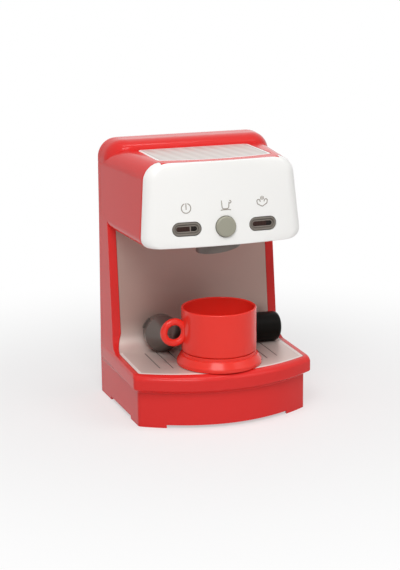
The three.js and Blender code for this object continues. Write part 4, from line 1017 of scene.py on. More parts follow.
@dataclass
class Casing:
    """The toy's outer forms: a base with a bowed front, a leaning column, a head and a raised crest.

    Front, back, cover and the faces are depths, the last ones of the column's front at the tray and at
    the head; tray, underside, head top and crest top are heights; a bow is how far the front corners lie
    behind the middle of the front; the lean is how much further back the top of the head's front lies;
    the crest's corners are the radii at its foot and at its top, least is the smallest that they come
    to in the hollow, and step how far its upright rings stay from both ends; the foot's taper is how much
    the column narrows from its back to its front at the tray; arch is the height of the arches between
    the feet, which run across at arch x and along at arch y.
    """

    front: float = -75.0
    back: float = 75.0
    cover: float = 67.0
    face_at_tray: float = 34.2
    face_at_head: float = 47.3
    tray: float = 51.0
    underside: float = 167.2
    head_top: float = 243.4
    crest_top: float = 251.8
    half_width: float = 87.0
    column_half: float = 85.5
    head_half_low: float = 77.0
    head_half_high: float = 70.0
    head_half_back: float = 85.0
    base_bow: float = 27.5
    base_corner: float = 5.0
    lip_slope: float = 8.3
    lip_drop: float = 5.0
    lip_inset: float = 1.5
    skirt_top: float = 33.0
    skirt_inset: float = 5.0
    skirt_rise: float = 5.0
    head_front: float = -56.0
    head_bow: float = 6.0
    lean: float = 7.0
    fillet: float = 18.0
    edge: float = 0.9
    back_edge: float = 1.2
    back_radius: float = 3.0
    head_corner: float = 13.0
    side_round: float = 10.0
    top_round: float = 16.0
    crest_depth: float = 34.0
    crest_slope: float = 15.0
    crest_round: float = 18.0
    crest_corner: Pair = (20.0, 1.2)
    column_sunk: float = 5.0
    foot_taper: float = 1.5
    crest_step: float = 1.0
    crest_least: float = 0.4
    panel_wall: float = 2.4
    wrap: float = 13.0
    tongue_margin: float = 14.0
    row_up: float = 17.2
    sheet: float = 1.6
    sheet_half: float = 81.0
    sheet_corner: float = 3.0
    splash_margin: float = 8.4
    arch: float = 3.0
    arch_x: Pair = (-59.0, 59.0)
    arch_y: Pair = (-19.0, 42.0)

    def __post_init__(self) -> None:
        """Works out the column's lean, its fillet's centre, the sheet's bow and the panel's frame."""
        self.face_lean = math.atan2(self.face_at_head - self.face_at_tray, self.underside - self.tray)
        rise = self.fillet * (1 - math.sin(self.face_lean))
        self.fillet_y, self.fillet_top = self.face_at_tray - rise / math.cos(self.face_lean), self.tray + rise
        self.ceiling = self.head_top - TopPlate.thick - GAP - WALL
        self.sheet_bow = self.base_bow * (self.sheet_half / self.half_width) ** 2
        self.panel_lean = math.atan2(self.lean, self.head_top - self.underside)
        row = self.underside + self.row_up
        self.panel = shift(0, self.front_at(row), row) @ turned("X", QUARTER - self.panel_lean)

    def share(self, z: float) -> float:
        """How far up the head a height is."""
        return (z - self.underside) / (self.head_top - self.underside)

    def front_at(self, z: float) -> float:
        """Depth of the middle of the head's front at a height."""
        return self.head_front + self.lean * self.share(z)

    def half_back_at(self, z: float) -> float:
        """Half the width at the back at a height."""
        halves = (self.half_width, self.column_half, self.head_half_back)
        return float(np.interp(z, (self.tray, self.underside, self.head_top), halves))

    def half_at(self, z: float, y: float) -> float:
        """Half the width at a place.

        Args:
            z: A height.
            y: A depth.

        Returns:
            Half the width there.
        """
        level = max(z, self.underside)
        half_front = self.head_half_low + (self.head_half_high - self.head_half_low) * self.share(level)
        full = (self.half_back_at(level) - half_front) / (self.back - self.front_at(level) - self.head_bow)
        rim = self.foot_taper / (self.back - self.fillet_y)
        grown = min(max((z - self.tray) / (self.fillet_top - self.tray), 0), 1)
        return self.half_back_at(z) - (rim + (full - rim) * grown) * (self.back - y)

    def head(self, inset: float = 0.0) -> Surface:
        """The head: its edges are arcs, of a larger radius at the top.

        Args:
            inset: How far every face is drawn in.

        Returns:
            The head, or its hollow.
        """
        low, high = self.underside + inset, self.head_top - inset
        below, above, front = (max(r - inset, 0.0) for r in (self.side_round, self.top_round, self.edge))
        rings = []
        for z in [*(low + arc_heights([below, front])), *(high - arc_heights([above, front])[::-1])]:
            level = min(max(z, self.underside), self.head_top)
            pull = max(arc_pull(z - low, below), arc_pull(high - z, above))
            start = self.front_at(level) + inset
            halves = (self.half_at(level, y) - inset - pull for y in (start + self.head_bow, self.back))
            plan = Plan(*halves, start + arc_pull(min(z - low, high - z), front), self.back - inset,
                        self.head_bow, self.head_corner - inset, self.back_radius)
            rings.append((z, plan.points()))
        return stacked(rings)

    def face_line(self, inset: float) -> Array:
        """The column's front in side view: an arc that rises from the tray, then the leaning face.

        Args:
            inset: How far it is drawn in.

        Returns:
            Depth and height of each point.
        """
        turn = np.linspace(0, QUARTER - self.face_lean, 17)
        centre = np.array([self.fillet_y, self.tray + self.fillet])
        foot = centre + (self.fillet + inset) * np.stack([np.sin(turn), -np.cos(turn)], 1)
        rest = self.underside + self.side_round - foot[-1, 1]
        return np.vstack([foot, foot[-1] + rest * np.array([math.tan(self.face_lean), 1])])

    def column(self, side: float = 0.0, face: float = 0.0) -> Surface:
        """The column, or its hollow.

        Args:
            side: How far its sides and its back are drawn in.
            face: How far its face is drawn in.

        Returns:
            The column.
        """
        line = self.face_line(face)
        start = (line[0, 1] - self.column_sunk, self.tray, line[0, 0])
        sections = []
        for z, level, y in [start, *((z, z, y) for y, z in line)]:
            halves = (self.half_at(level, depth) - side for depth in (y, self.back))
            sections.append((z, Plan(*halves, y, self.back - side, back_radius=self.back_radius).points(4)))
        return stacked(sections)

    def base_ring(self, inset: float, lip: float = 0.0, skirt: float = 0.0) -> Array:
        """The base's outline.

        Args:
            inset: How far it is drawn in.
            lip: The share of the lip by which it is drawn in as well.
            skirt: The share of the skirt's step by which it is drawn in as well.

        Returns:
            The points, one row each.
        """
        start = self.front + inset + lip * self.lip_slope + skirt * self.skirt_inset
        half = self.half_width - (inset + lip * self.lip_inset)
        return Plan(half - skirt * self.skirt_inset, half, start, self.back - inset, self.base_bow,
                    self.base_corner, self.back_radius).points(56)

    def base(self) -> Surface:
        """The base: a skirt that flares out to a band, and over it a lip that is a quarter of an ellipse.

        Returns:
            The base.
        """
        low, rise = self.skirt_top, self.skirt_rise
        skirt = [(low + rise * t, self.base_ring(0, 0, 1 - t * t * (3 - 2 * t)))
                 for t in np.linspace(0, 1, 9)]
        lip = [(self.tray - self.lip_drop + self.lip_drop * math.sin(t), self.base_ring(0, 1 - math.cos(t)))
               for t in np.linspace(0, QUARTER, 13)]
        return stacked([(0, self.base_ring(0, 0, 1)), *skirt, *lip])

    def crest(self, inset: float = 0.0) -> Surface:
        """The crest: its front is a quarter of an ellipse and its ends are quarters of a circle.

        Its front corners are round at the foot and nearly sharp at the top.

        Args:
            inset: How far it is drawn in.

        Returns:
            The crest, or its hollow.
        """
        foot, rise = self.crest_top - self.crest_round, self.crest_top - self.head_top
        start, step = self.back - self.crest_depth, self.crest_step
        lower = np.linspace(foot + step, self.head_top - step, 5)
        steps = [(z, start) for z in (foot - OVERRUN, foot, *lower)]
        steps += [(self.head_top + rise * math.sin(t), start + self.crest_slope * (1 - math.cos(t)))
                  for t in np.linspace(0, QUARTER, 25)]
        rings = []
        for z, y in steps:
            pull = arc_pull(self.crest_top - z, self.crest_round) if z > foot else 0.0
            behind = 0.0 if inset else arc_pull(self.crest_top - z, self.back_edge)
            halves = (self.half_at(min(z, self.head_top), depth) - pull - inset for depth in (y, self.back))
            corner = np.interp(y, [start, start + self.crest_slope], self.crest_corner) - inset
            plan = Plan(*halves, y + inset, self.back - inset - behind, 0.0, max(corner, self.crest_least),
                        self.back_radius)
            rings.append((z - inset, plan.points(4, 14)))
        return stacked(rings)

    def solid(self) -> Body:
        """The whole casing with its hollow and the arches between its feet, before it is parted.

        Returns:
            The casing.
        """
        inner = self.sheet + GAP + WALL
        roof, low, half = self.tray - inner, self.skirt_top + WALL, self.half_width
        foot, band = self.base_ring(WALL, 0, 1), self.base_ring(WALL)
        well = stacked([(-OVERRUN, foot), (low, foot), (low + self.skirt_rise, band),
                        (roof - self.lip_drop, band), (roof, self.base_ring(WALL, 1))])
        room = block((-half, half), (self.front, self.back), (self.underside, self.ceiling))
        hollow = Body(well).plus(self.column(WALL, inner), Body(self.head(WALL)).meet(room), self.crest(WALL))
        across = block(self.arch_x, (self.front - OVERRUN, self.back + OVERRUN), (-OVERRUN, self.arch))
        along = block((-half - OVERRUN, half + OVERRUN), self.arch_y, (-OVERRUN, self.arch))
        return Body(self.base()).plus(self.column(), self.head(), self.crest()).minus(hollow, across, along)

    def trimmed(self, line: Array) -> Array:
        """A line of the column's front, cut off at the head's underside."""
        (y0, z0), (y1, z1) = line[-2:]
        return np.vstack([line[:-1], [y0 + (y1 - y0) * (self.underside - z0) / (z1 - z0), self.underside]])

    def liner(self, side: float = 0.0, above: float = 0.0, below: float = sheet) -> Body:
        """The sheet that lines the tray and the splash wall, or its bed.

        Args:
            side: How far its outline is grown.
            above: How far its upper face is moved out.
            below: How far its lower face lies under the casing's own.

        Returns:
            The sheet or the bed.
        """
        low, high = self.trimmed(self.face_line(below)), self.trimmed(self.face_line(-above))
        under, over = [self.front, self.tray - below], [self.front, self.tray + above]
        outline = np.vstack([under, low, high[::-1], over])
        ends = (-self.half_width, self.half_width)
        sheet = Body(loft(np.column_stack([np.full(len(outline), x), outline]) for x in ends))
        wide = self.sheet_half
        low, high = (self.half_at(*place) - self.splash_margin for place in (
            (self.fillet_top, self.face_at_tray), (self.underside, self.face_at_head)))
        levels = ((self.tray - OVERRUN, wide), (self.tray + above, wide), (self.fillet_top + above, low),
                  (self.underside + OVERRUN, high))
        ends = (self.front + self.lip_slope + GAP - side, self.back, self.sheet_bow, self.sheet_corner)
        rings = ((z, Plan(half + side, half + side, *ends).points(48)) for z, half in levels)
        return sheet.meet(stacked(rings))

    def in_front(self, depth: float, reach: float = 150.0) -> Body:
        """The space in front of a plane at a depth behind the panel's face."""
        return Body(block((-reach, reach), (-reach, reach), (-depth, reach - depth)).moved(self.panel))

    def tongue(self, side: float, from_face: float) -> Surface:
        """The strip of the red top that runs forward to the panel's face.

        Args:
            side: How far its sides and its floor are moved out.
            from_face: How far its front end stays behind the face.

        Returns:
            The strip.
        """
        half = self.head_half_high - self.tongue_margin + side
        bow = self.head_bow * (half / self.head_half_high) ** 2
        plan = Plan(half, half, self.front_at(self.head_top) + from_face, self.back, bow)
        return drawn_out(plan.points(), self.ceiling - side, self.head_top + OVERRUN)

    def face_point(self, x: Array, z: Array, lift: float = 0.0) -> Array:
        """Points on the bowed, leaning front of the head.

        Args:
            x: Their places along X.
            z: Their heights.
            lift: How far they are lifted along the front's normal.

        Returns:
            The points, one row each.
        """
        half = self.head_half_low + (self.head_half_high - self.head_half_low) * self.share(z)
        y = self.front_at(z) + self.head_bow * np.square(x / half)
        slope = 2 * self.head_bow * x / half**2
        normal = np.stack([slope, -np.ones_like(x), np.full_like(x, self.panel_lean)], 1)
        return np.stack([x, y, z], 1) + normal / np.linalg.norm(normal, axis=1, keepdims=True) * lift

    def bow_at(self, x: float) -> float:
        """How far the bowed front has dropped back at x."""
        return self.head_bow * (x / self.head_half_low) ** 2

    def oval_frame(self, x: float) -> Array:
        """The frame of an oval button, square to the bowed panel."""
        yaw = math.atan(2 * self.head_bow * x / self.head_half_low**2)
        return self.panel @ shift(x, 0, -self.bow_at(x)) @ turned("Y", yaw)


@dataclass
class TopPlate:
    """The pale plate on the head; its edge is rounded above from an angle on, and its lower edge bevelled."""

    half: float = 55.0
    front: float = -35.3
    back: float = 39.0
    bow: float = 9.0
    top: float = 243.4
    thick: float = 1.5
    edge: float = 0.6
    edge_start: float = 0.3
    lower_edge: float = 0.2
    corner: float = 5.0

    def outline(self, grow: float = 0.0) -> Array:
        """Its outline, grown on every side."""
        half, corner = self.half + grow, self.corner
        return Plan(half, half, self.front - grow, self.back + grow, self.bow, corner, corner).points(40)

    def build(self) -> None:
        """Puts the plate in."""
        low, bevel = self.top - self.thick, self.lower_edge
        whole = self.outline()
        rings = [(low, self.outline(-bevel)), (low + bevel, whole), (self.top - self.edge, whole)]
        rings += [(z, self.outline(-d)) for d, z in softened(self.edge, self.top, 5, self.edge_start)]
        finish = StripedPlate(self.half, self.front, self.back, self.bow)
        Piece("striped_top_plate", "casing", "pale_plate", finish, ("top_plate",)).made_of(stacked(rings))


@dataclass
class Collar:
    """The round group head, with two ledges for the filter holder's lugs.

    Low and top are its heights. Its wall is a ring that a slanted plane cuts off: middle is the plane's
    height and slope its rise to the right, and the cutting body spans the reach on both sides and goes
    down to lowest. A ledge is given by its angle and how far it is raised.
    """

    low: float = 159.5
    top: float = 170.8
    hole_radius: float = 18.7
    middle: float = 161.2
    slope: float = 0.165
    reach: float = 30.0
    lowest: float = 140.0
    ledge_radii: Pair = (17.4, 19.85)
    ledge_heights: Pair = (0.1, 2.0)
    ledge_turn: float = math.pi / 3
    ledges: Line = ((0.0, 3.6), (math.pi, 0.0))
    wall: Line = ((19, 150), (20.7, 150), (20.7, 161), (19, 161))
    profile: Line = (
        (0, 169.3, 0), (17.2, 169.3, 0.3), (17.2, 165.2, 0.3), (19, 165.2, 0.3), (19, 159.5, 0.5),
        (20.7, 159.5, 1.0), (20.7, 166.9, 0.4), (18.4, 166.9, 0.2), (18.4, 170.8, 0.4), (0, 170.8, 0),
    )

    def hole(self) -> Surface:
        """The round hole in the casing that the collar passes through."""
        return rod(self.hole_radius, self.low, self.top, 96).at(0, COLLAR_AT)

    def build(self) -> None:
        """Puts the collar in."""
        ledges = []
        for start, raised in self.ledges:
            ring = sector(*self.ledge_radii, start, start + self.ledge_turn, 16)
            ends = [self.low + raised + height for height in self.ledge_heights]
            ledges.append(drawn_out(ring, *ends).at(0, COLLAR_AT))
        wall = revolved(self.wall, 128, True).at(0, COLLAR_AT)
        right, rise = self.reach, self.reach * self.slope
        low, middle = self.lowest, self.middle
        edges = ((-right, low), (right, low), (right, middle + rise), (-right, middle - rise))
        below = loft(np.array([(x, COLLAR_AT + y, z) for x, z in edges]) for y in (-self.reach, self.reach))
        body = Body(revolved(rounded(self.profile), 128).at(0, COLLAR_AT)).plus(wall, *ledges).minus(below)
        Piece("dark_group_collar", "casing", "dark_grey", Finish.COLLAR, ("group_collar",)).made_of(body)


def at_back_screws(*sizes: Sequence[float]) -> list[Surface]:
    """Rods of these radii, starts and ends at each screw of the back cover."""
    return [rod(*size).laid(x, z) for x, z in BACK_SCREWS for size in sizes]


def at_base_screws(*sizes: Sequence[float]) -> list[Surface]:
    """Rods of these radii, starts and ends at each screw of the bottom cover."""
    return [rod(*size).at(x, y) for x, y in BASE_SCREWS for size in sizes]


@dataclass
class Housing:
    """The three parts that the casing is parted into.

    A post, a pilot hole, a boss, a cup and the holes are rods, each given by its radius, its start and
    its end; a back post's start is counted from the leaning face. The door is the battery door's opening:
    half its width and its two heights. A foot's rings are its heights and the share of its size there.
    """

    casing: Casing
    back_post: Triple = (3.5, 3.0, 72.5)
    base_post: Triple = (3.5, 6.0, 30.0)
    back_pilot: Triple = (1.6, 61.8, 75.0)
    base_pilot: Triple = (1.6, 0.0, 16.7)
    boss: Triple = (3.9, 72.65, 73.9)
    cup: Triple = (5.0, 2.5, 4.6)
    back_holes: Line = ((1.6, 60.0, 79.0), (3.1, 73.1, 79.0))
    base_holes: Line = ((1.6, 0.0, 10.0), (3.1, 0.0, 4.6))
    door: Triple = (14.5, 67.3, 133.6)
    door_depths: Pair = (60.0, 80.0)
    plate: Pair = (3.3, 5.7)
    foot: float = 8.0
    foot_corner: float = 2.2
    foot_rings: Line = ((0.0, 0.94), (0.6, 1.0), (4.6, 1.0))
    feet: tuple = ((-66.0, -33.0), (-66.0, 56.0), (66.0, -33.0), (66.0, 56.0))
    speaker_ring: Line = ((18.3, 4.6), (19.9, 4.6), (19.9, 9.3), (18.3, 9.3))
    slot: Triple = (26.0, 2.4, 5.6)
    slot_depths: Pair = (0.0, 10.0)

    def shell(self, solid: Body) -> Body:
        """The body in front of the parting line, with places for the panel, the plate and the tray.

        Args:
            solid: The whole casing.

        Returns:
            The shell with its screw posts.
        """
        c, half = self.casing, self.casing.half_width
        below = block((-half, half), (c.front, c.back), (-OVERRUN, c.underside - GAP))
        space = c.in_front(c.wrap + GAP).minus(c.tongue(0, c.panel_wall + GAP), below)
        radius, clear, end = self.back_post
        posts = [rod(radius, c.face_at_tray + (z - c.tray) * math.tan(c.face_lean) + clear, end).laid(x, z)
                 for x, z in BACK_SCREWS]
        plate = TopPlate()
        bed = drawn_out(plate.outline(GAP), c.head_top - plate.thick - GAP, c.head_top + OVERRUN)
        part = solid.meet(block((-half, half), (c.front, c.cover - GAP), (0, c.crest_top)))
        part = part.minus(space, bed, c.liner(GAP, GAP, c.sheet + GAP), Collar().hole())
        part = part.plus(*posts, *at_base_screws(self.base_post))
        return part.minus(*at_back_screws(self.back_pilot), *at_base_screws(self.base_pilot))

    def back_cover(self, solid: Body) -> Body:
        """The cover behind the parting line, with its screw bosses and the battery door's opening.

        Args:
            solid: The whole casing.

        Returns:
            The cover.
        """
        c, (half, low, high) = self.casing, self.door
        behind = block((-c.half_width, c.half_width), (c.cover, c.back), (0, c.crest_top))
        opening = block((-half, half), self.door_depths, (low, high))
        cover = solid.meet(behind).plus(*at_back_screws(self.boss))
        return cover.minus(*at_back_screws(*self.back_holes), opening)

    def bottom_cover(self) -> Body:
        """The bottom plate with its feet, its screw cups and the slots under the loudspeaker.

        Returns:
            The cover.
        """
        square = np.array([(-1, -1), (1, -1), (1, 1), (-1, 1)]) * self.foot
        corners = rounded([(*place, self.foot_corner) for place in square], 5, True)
        feet = [stacked((z, np.array(middle) + corners * share) for z, share in self.foot_rings)
                for middle in self.feet]
        length, width, pitch = self.slot
        slots = [drawn_out(pill(length, width), *self.slot_depths).at(0, SPEAKER_AT + i * pitch)
                 for i in range(-2, 3)]
        ring = revolved(self.speaker_ring, ring=True).at(0, SPEAKER_AT)
        plate = Body(drawn_out(self.casing.base_ring(WALL + GAP, 0, 1), *self.plate))
        plate = plate.plus(*feet, *at_base_screws(self.cup), ring)
        return plate.minus(*slots, *at_base_screws(*self.base_holes))

    def build(self) -> None:
        """Puts the three parts in."""
        solid = self.casing.solid()
        for name, node, body in (("red_shell", "body_shell", self.shell(solid)),
                                 ("red_back_cover", "back_cover", self.back_cover(solid)),
                                 ("red_bottom_cover", "bottom_cover", self.bottom_cover())):
            Piece(name, "casing", "red_plastic", Finish.RED, (node,)).made_of(body)


@dataclass
class Tray:
    """The silver sheet: drip tray and splash wall in one, with fine grooves along the tray.

    Width, depth and spacing are the grooves'; the margin is how far they start behind the sheet's front
    and clear how far they end before the fillet.
    """

    casing: Casing
    width: float = 1.2
    depth: float = 0.45
    spacing: float = 11.6
    margin: float = 20.8
    clear: float = 1.4

    def build(self) -> None:
        """Puts the sheet in."""
        c = self.casing
        front, end = c.front + c.lip_slope, c.fillet_y - self.clear
        grooves = []
        for x in self.spacing * np.arange(-5, 6):
            start = front + self.margin + c.sheet_bow * (x / c.sheet_half) ** 2
            middle = np.array([x, (start + end) / 2])
            line = pill(end - start, self.width, 6)[:, ::-1] * np.array([-1, 1]) + middle
            grooves.append(drawn_out(line, c.tray - self.depth, c.tray + OVERRUN))
        finish = Foil(c.sheet_half, front + GAP, c.sheet_bow, c.tray)
        Piece("silver_tray_and_splash_wall", "casing", "silver_plastic", finish,
              ("tray_and_splash_plate",)).made_of(c.liner().minus(*grooves))


@dataclass
class FrontPanel:
    """The white panel that wraps round the head's front corners, and the signs on it.

    A post is given by its radius, its inner end and how far its outer end stays behind the face, and so
    is its hole. The ring and the curl of the signs are arcs: centre, radius and two angles in degrees.
    """

    casing: Casing
    sign_x: Triple = (-36.4, 0.5, 36.1)
    sign_height: float = 203.0
    stroke: float = 0.85
    stroke_thick: float = 0.12
    stroke_lift: float = 0.02
    post_x: float = 55.67
    post_up: Pair = (-2.5, 18.0)
    posts: Line = ((2.6, -13.7, 1.2), (1.3, -14.0, 2.7))
    flare: float = 0.35
    round_hole: float = 9.8
    round_depth: float = -13.0
    oval_hole: Pair = (27.1, 12.9)
    oval_depth: float = -7.0
    ring: Row = (0.0, 0.0, 4.3, 107.0, 433.0)
    bar: Line = ((0, -1.3), (0, 1.5), (0, 4.6))
    bowl: Line = ((-3.9, 5.0, 0), (-3.3, -2.6, 1.8), (2.8, -2.6, 1.8), (3.3, 3.4, 0))
    saucer: Line = ((-4.8, -3.9), (-3.6, -3.5), (0, -3.4), (3.6, -3.5), (4.9, -3.9))
    curl: Row = (4.1, 3.4, 1.1, -150.0, 120.0)
    curls: Line = ((1.9, 1.1, 0), (2.5, 3.4, 1.1), (5.4, 3.2, 1.3), (4.8, -0.5, 1.6), (0, -3.1, 1.0))
    jets: Line = ((-1.3, 3.2, 5.8), (0, 2.6, 6.4), (1.3, 3.2, 5.8))
    jet_middle: float = 4.4

    def panel(self) -> Body:
        """The panel with its screw posts and the holes for the buttons.

        Returns:
            The panel.
        """
        c = self.casing
        slab = Body(c.head()).meet(c.in_front(c.wrap))
        shell = slab.minus(c.head(c.panel_wall), c.tongue(GAP, c.panel_wall), Collar().hole())
        places = [(x, up) for x in (-self.post_x, self.post_x) for up in self.post_up]
        posts, pilots = ([rod(r, low, -c.bow_at(x) - short).moved(c.panel @ shift(x, up)) for x, up in places]
                         for r, low, short in self.posts)
        flare, r = softened(self.flare, 0, 5), self.round_hole
        hole = [(0, self.round_depth), (r, self.round_depth), *((r + d, z) for d, z in flare),
                (r + self.flare, OVERRUN), (0, OVERRUN)]
        length, width = self.oval_hole
        rings = [*capsule(length, width, self.oval_depth, flare, 1.0),
                 (length + self.flare, width + self.flare, OVERRUN)]
        holes = [revolved(hole).moved(c.panel)]
        holes += [pill_loft(rings, 24).moved(c.oval_frame(x)) for x in (-BUTTON_STEP, BUTTON_STEP)]
        return shell.plus(*posts).minus(*pilots, *holes)

    def build(self) -> None:
        """Puts the panel and its signs in."""
        panel = self.panel()
        Piece("white_front_panel", "casing", "white_plastic", Finish.WHITE, ("front_panel",)).made_of(panel)
        signs = {"power": self.power(), "cup": self.cup(), "steam": self.steam()}
        for x, (name, lines) in zip(self.sign_x, signs.items()):
            strips = []
            for points in lines:
                at = points[:, 0] + x, points[:, 1] + self.sign_height
                path = self.casing.face_point(*at, self.stroke_lift)
                out = self.casing.face_point(*at, self.stroke_lift + 1) - path
                strips.append(ribbon(path, out, self.stroke, self.stroke_thick))
            Piece(f"{name}_sign", "casing", "bezel_grey", Finish.INK).made_of(both(strips))

    def power(self) -> list[Array]:
        """A ring that is open at the top, with a bar from the opening to below its middle."""
        x, y, radius, start, end = self.ring
        return [arc((x, y), radius, math.radians(start), math.radians(end), 48), np.array(self.bar)]

    def cup(self) -> list[Array]:
        """A tall cup from the side on a saucer's line, with a small curl at its right edge.

        Returns:
            The points of each line.
        """
        x, y, radius, start, end = self.curl
        curl = arc((x, y), radius, math.radians(start), math.radians(end), 16)
        return [rounded(self.bowl), np.array(self.saucer), curl]

    def steam(self) -> list[Array]:
        """A pointed bowl whose edges curl in, and three short jets over it.

        Returns:
            The points of each line.
        """
        left = [(-x, y, radius) for x, y, radius in self.curls[:-1]]
        jets = [np.array([[x, low], [x, self.jet_middle], [x, high]]) for x, low, high in self.jets]
        return [rounded([*self.curls, *left[::-1]], 8), *jets]


@dataclass
class Controls:
    """The round button, the two oval ones with their windows, and the rubber domes behind them.

    Heights are from the panel's face. A line of three numbers holds slots: length, width and height. An
    edge is its radius and its height. The groove is the bar's bed in the left window, the stem a rod of
    a radius and a top, the light hole a rod of a radius at a place.
    """

    casing: Casing
    stem: Line = ((0, -9), (2.7, -9), (3, -8.7), (3, -4.5), (11.1, -4.5), (11.1, -3))
    crown: Line = ((9.4, -3, 0), (9.4, 2.8, 1.4), (0, 3.0, 0))
    cap: Triple = (25.8, 11.6, -4.5)
    cap_edge: Pair = (0.5, -0.4)
    flange: Line = ((29.2, 15.0, -4.5), (29.2, 15.0, -3))
    dish: Line = ((21.0, 6.8, -2.3), (21.8, 7.6, -2.2), (22.9, 8.7, -0.4), (23.8, 9.6, 2))
    slot: Line = ((19.3, 4.5, -3.5), (19.3, 4.5, 2))
    window_frame: Line = ((20.9, 6.7, -2.25), (20.9, 6.7, -1.8), (20.5, 6.3, -1.5))
    window: Triple = (19.0, 4.2, -3.3)
    window_edge: Pair = (0.35, -1.8)
    groove: Line = ((3.06, 4.16), (-4.0, 4.0), (-1.95, 2.0))
    split: float = 3.61
    stem_x: float = 7.6
    stem_end: float = -9.0
    oval_stem: Pair = (3.0, -3.8)
    light_hole: Pair = (2.0, 5.0)
    board: float = -13.7
    dome_foot: float = 4.4
    dome_top: float = 3.1
    dome_edge: float = 0.9
    dome_radii: Row = (0.15, 0.4, 0.5, 0.4)

    def build(self) -> None:
        """Puts the buttons in."""
        body = revolved(np.vstack([self.stem, rounded(self.crown, 8)]), 128).moved(self.casing.panel)
        name = "coffee_button"
        Piece("round_coffee_button", name, "warm_grey", Finish.BUTTON, (name,)).made_of(body)
        self.dome("coffee", 0.0, self.stem_end)
        for name, hand in (("power", -1), ("steam", 1)):
            self.oval(name, hand)

    def oval(self, name: str, hand: int) -> None:
        """Puts in an oval button, its window and its dome.

        Args:
            name: What it is for.
            hand: Minus one on the left, one on the right.
        """
        seat, carrier = self.casing.oval_frame(BUTTON_STEP * hand), f"{name}_button"
        slot = pill_loft(self.slot, 24)
        cap = Body(pill_loft(capsule(*self.cap, softened(*self.cap_edge, 6))))
        (radius, top), (hole, x) = self.oval_stem, self.light_hole
        body = cap.plus(pill_loft(self.flange), rod(radius, self.stem_end, top).at(-self.stem_x * hand))
        body = body.minus(pill_loft(self.dish), slot, rod(hole, self.stem_end, OVERRUN).at(x * hand))
        piece = Piece(f"oval_{name}_button", carrier, "bezel_grey", Finish.BEZEL, (carrier,))
        piece.made_of(body.placed(seat))
        frame_ring = Body(pill_loft(self.window_frame)).minus(slot)
        Piece(f"{name}_window_frame", carrier, "bezel_grey", Finish.FRAME).made_of(frame_ring.placed(seat))
        lens = Body(pill_loft(capsule(*self.window, softened(*self.window_edge, 5)), 24))
        if name == "power":
            lens = lens.minus(block(*self.groove))
        split = float((seat @ np.array([self.split, 0, 0, 1]))[0])
        finish = Lens(f"smoked_{name}_window", split, name == "power")
        Piece(f"{name}_window", carrier, "smoked_lens", finish, (f"{name}_lens",)).made_of(lens.placed(seat))
        tip = np.linalg.inv(self.casing.panel) @ seat @ np.array([-self.stem_x * hand, 0, self.stem_end, 1])
        self.dome(name, float(tip[0]), float(tip[2]) - GAP)

    def dome(self, name: str, x: float, stem_tip: float) -> None:
        """Puts in a rubber dome between the board and a button's stem.

        Args:
            name: What its button is for.
            x: Its place along the row.
            stem_tip: The stem's end, in the panel's frame.
        """
        floor, top, panel, joint = self.board, stem_tip - GAP, self.casing.panel, f"{name}_button_press"
        foot, shoulder, edge = self.dome_foot, self.dome_top, self.dome_edge
        places = ((foot, floor), (foot, floor + edge), (shoulder, top - edge), (shoulder, top))
        corners = [(*place, radius) for place, radius in zip(places, self.dome_radii)]
        body = revolved(rounded([(0, floor, 0), *corners, (0, top, 0)], 4), 48).moved(panel @ shift(x))
        piece = Piece(f"{name}_rubber_dome", "casing", "silicone", Finish.SILICONE, (f"{name}_dome",))
        item = piece.made_of(body)
        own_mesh(item)


@dataclass
class Screws:
    """Pan head screws with a cross recess.

    Large and small are each a head's radius and height and a shank's radius and length. The tip is its
    length and its radius; an arm of the cross is its half length as a share of the head's radius, its
    half width, and its depth as a share of the head's height. The seats are where the heads' faces lie.
    """

    large: Row = (2.8, 1.6, 1.3, 11.0)
    small: Row = (2.6, 1.0, 1.3, 6.0)
    rim_radius: float = 0.45
    step_radius: float = 0.1
    tip: Pair = (1.2, 0.2)
    tip_radii: Pair = (0.3, 0.05)
    arm: Triple = (0.6, 0.4, 0.5)
    back_seat: float = 74.85
    bottom_seat: float = 2.85

    def put(self, name: str, rides_on: str, node: str, sizes: Row, matrix: Array) -> None:
        """Puts one screw in.

        Args:
            name: The new piece's name.
            rides_on: The body that carries it.
            node: The screw of the record that it replaces.
            sizes: Head radius, head height, shank radius and length.
            matrix: Its place, its head's face at the origin and its tip along Z.
        """
        head, height, shank, length = sizes
        (taper, point), (taper_radius, point_radius), step = self.tip, self.tip_radii, self.step_radius
        line = rounded([(0, 0, 0), (head, 0, self.rim_radius), (head, height, step), (shank, height, step),
                        (shank, length - taper, taper_radius), (point, length, point_radius),
                        (0, length, 0)], 4)
        reach, half, deep = self.arm
        arms = [(-head * reach, head * reach), (-half, half)]
        cross = [block(x, y, (-OVERRUN, height * deep)) for x, y in (arms, arms[::-1])]
        body = Body(revolved(line, 32)).minus(Body(cross[0]).plus(cross[1]))
        Piece(name, rides_on, "steel", Steel(), (node,)).made_of(body.placed(matrix))

    def build(self) -> None:
        """Puts the screws of both covers and the door's in."""
        for kind, places in (("back", [shift(x, self.back_seat, z) @ OUTWARD for x, z in BACK_SCREWS]),
                             ("bottom", [shift(x, y, self.bottom_seat) for x, y in BASE_SCREWS])):
            for i, place in enumerate(places, 1):
                self.put(f"{kind}_cross_screw_{i}", "casing", f"{kind}_screw_{i}", self.large, place)
        place = shift(0, self.back_seat, BatteryBay.screw) @ OUTWARD
        self.put("door_cross_screw", "battery_door", "door_screw", self.small, place)


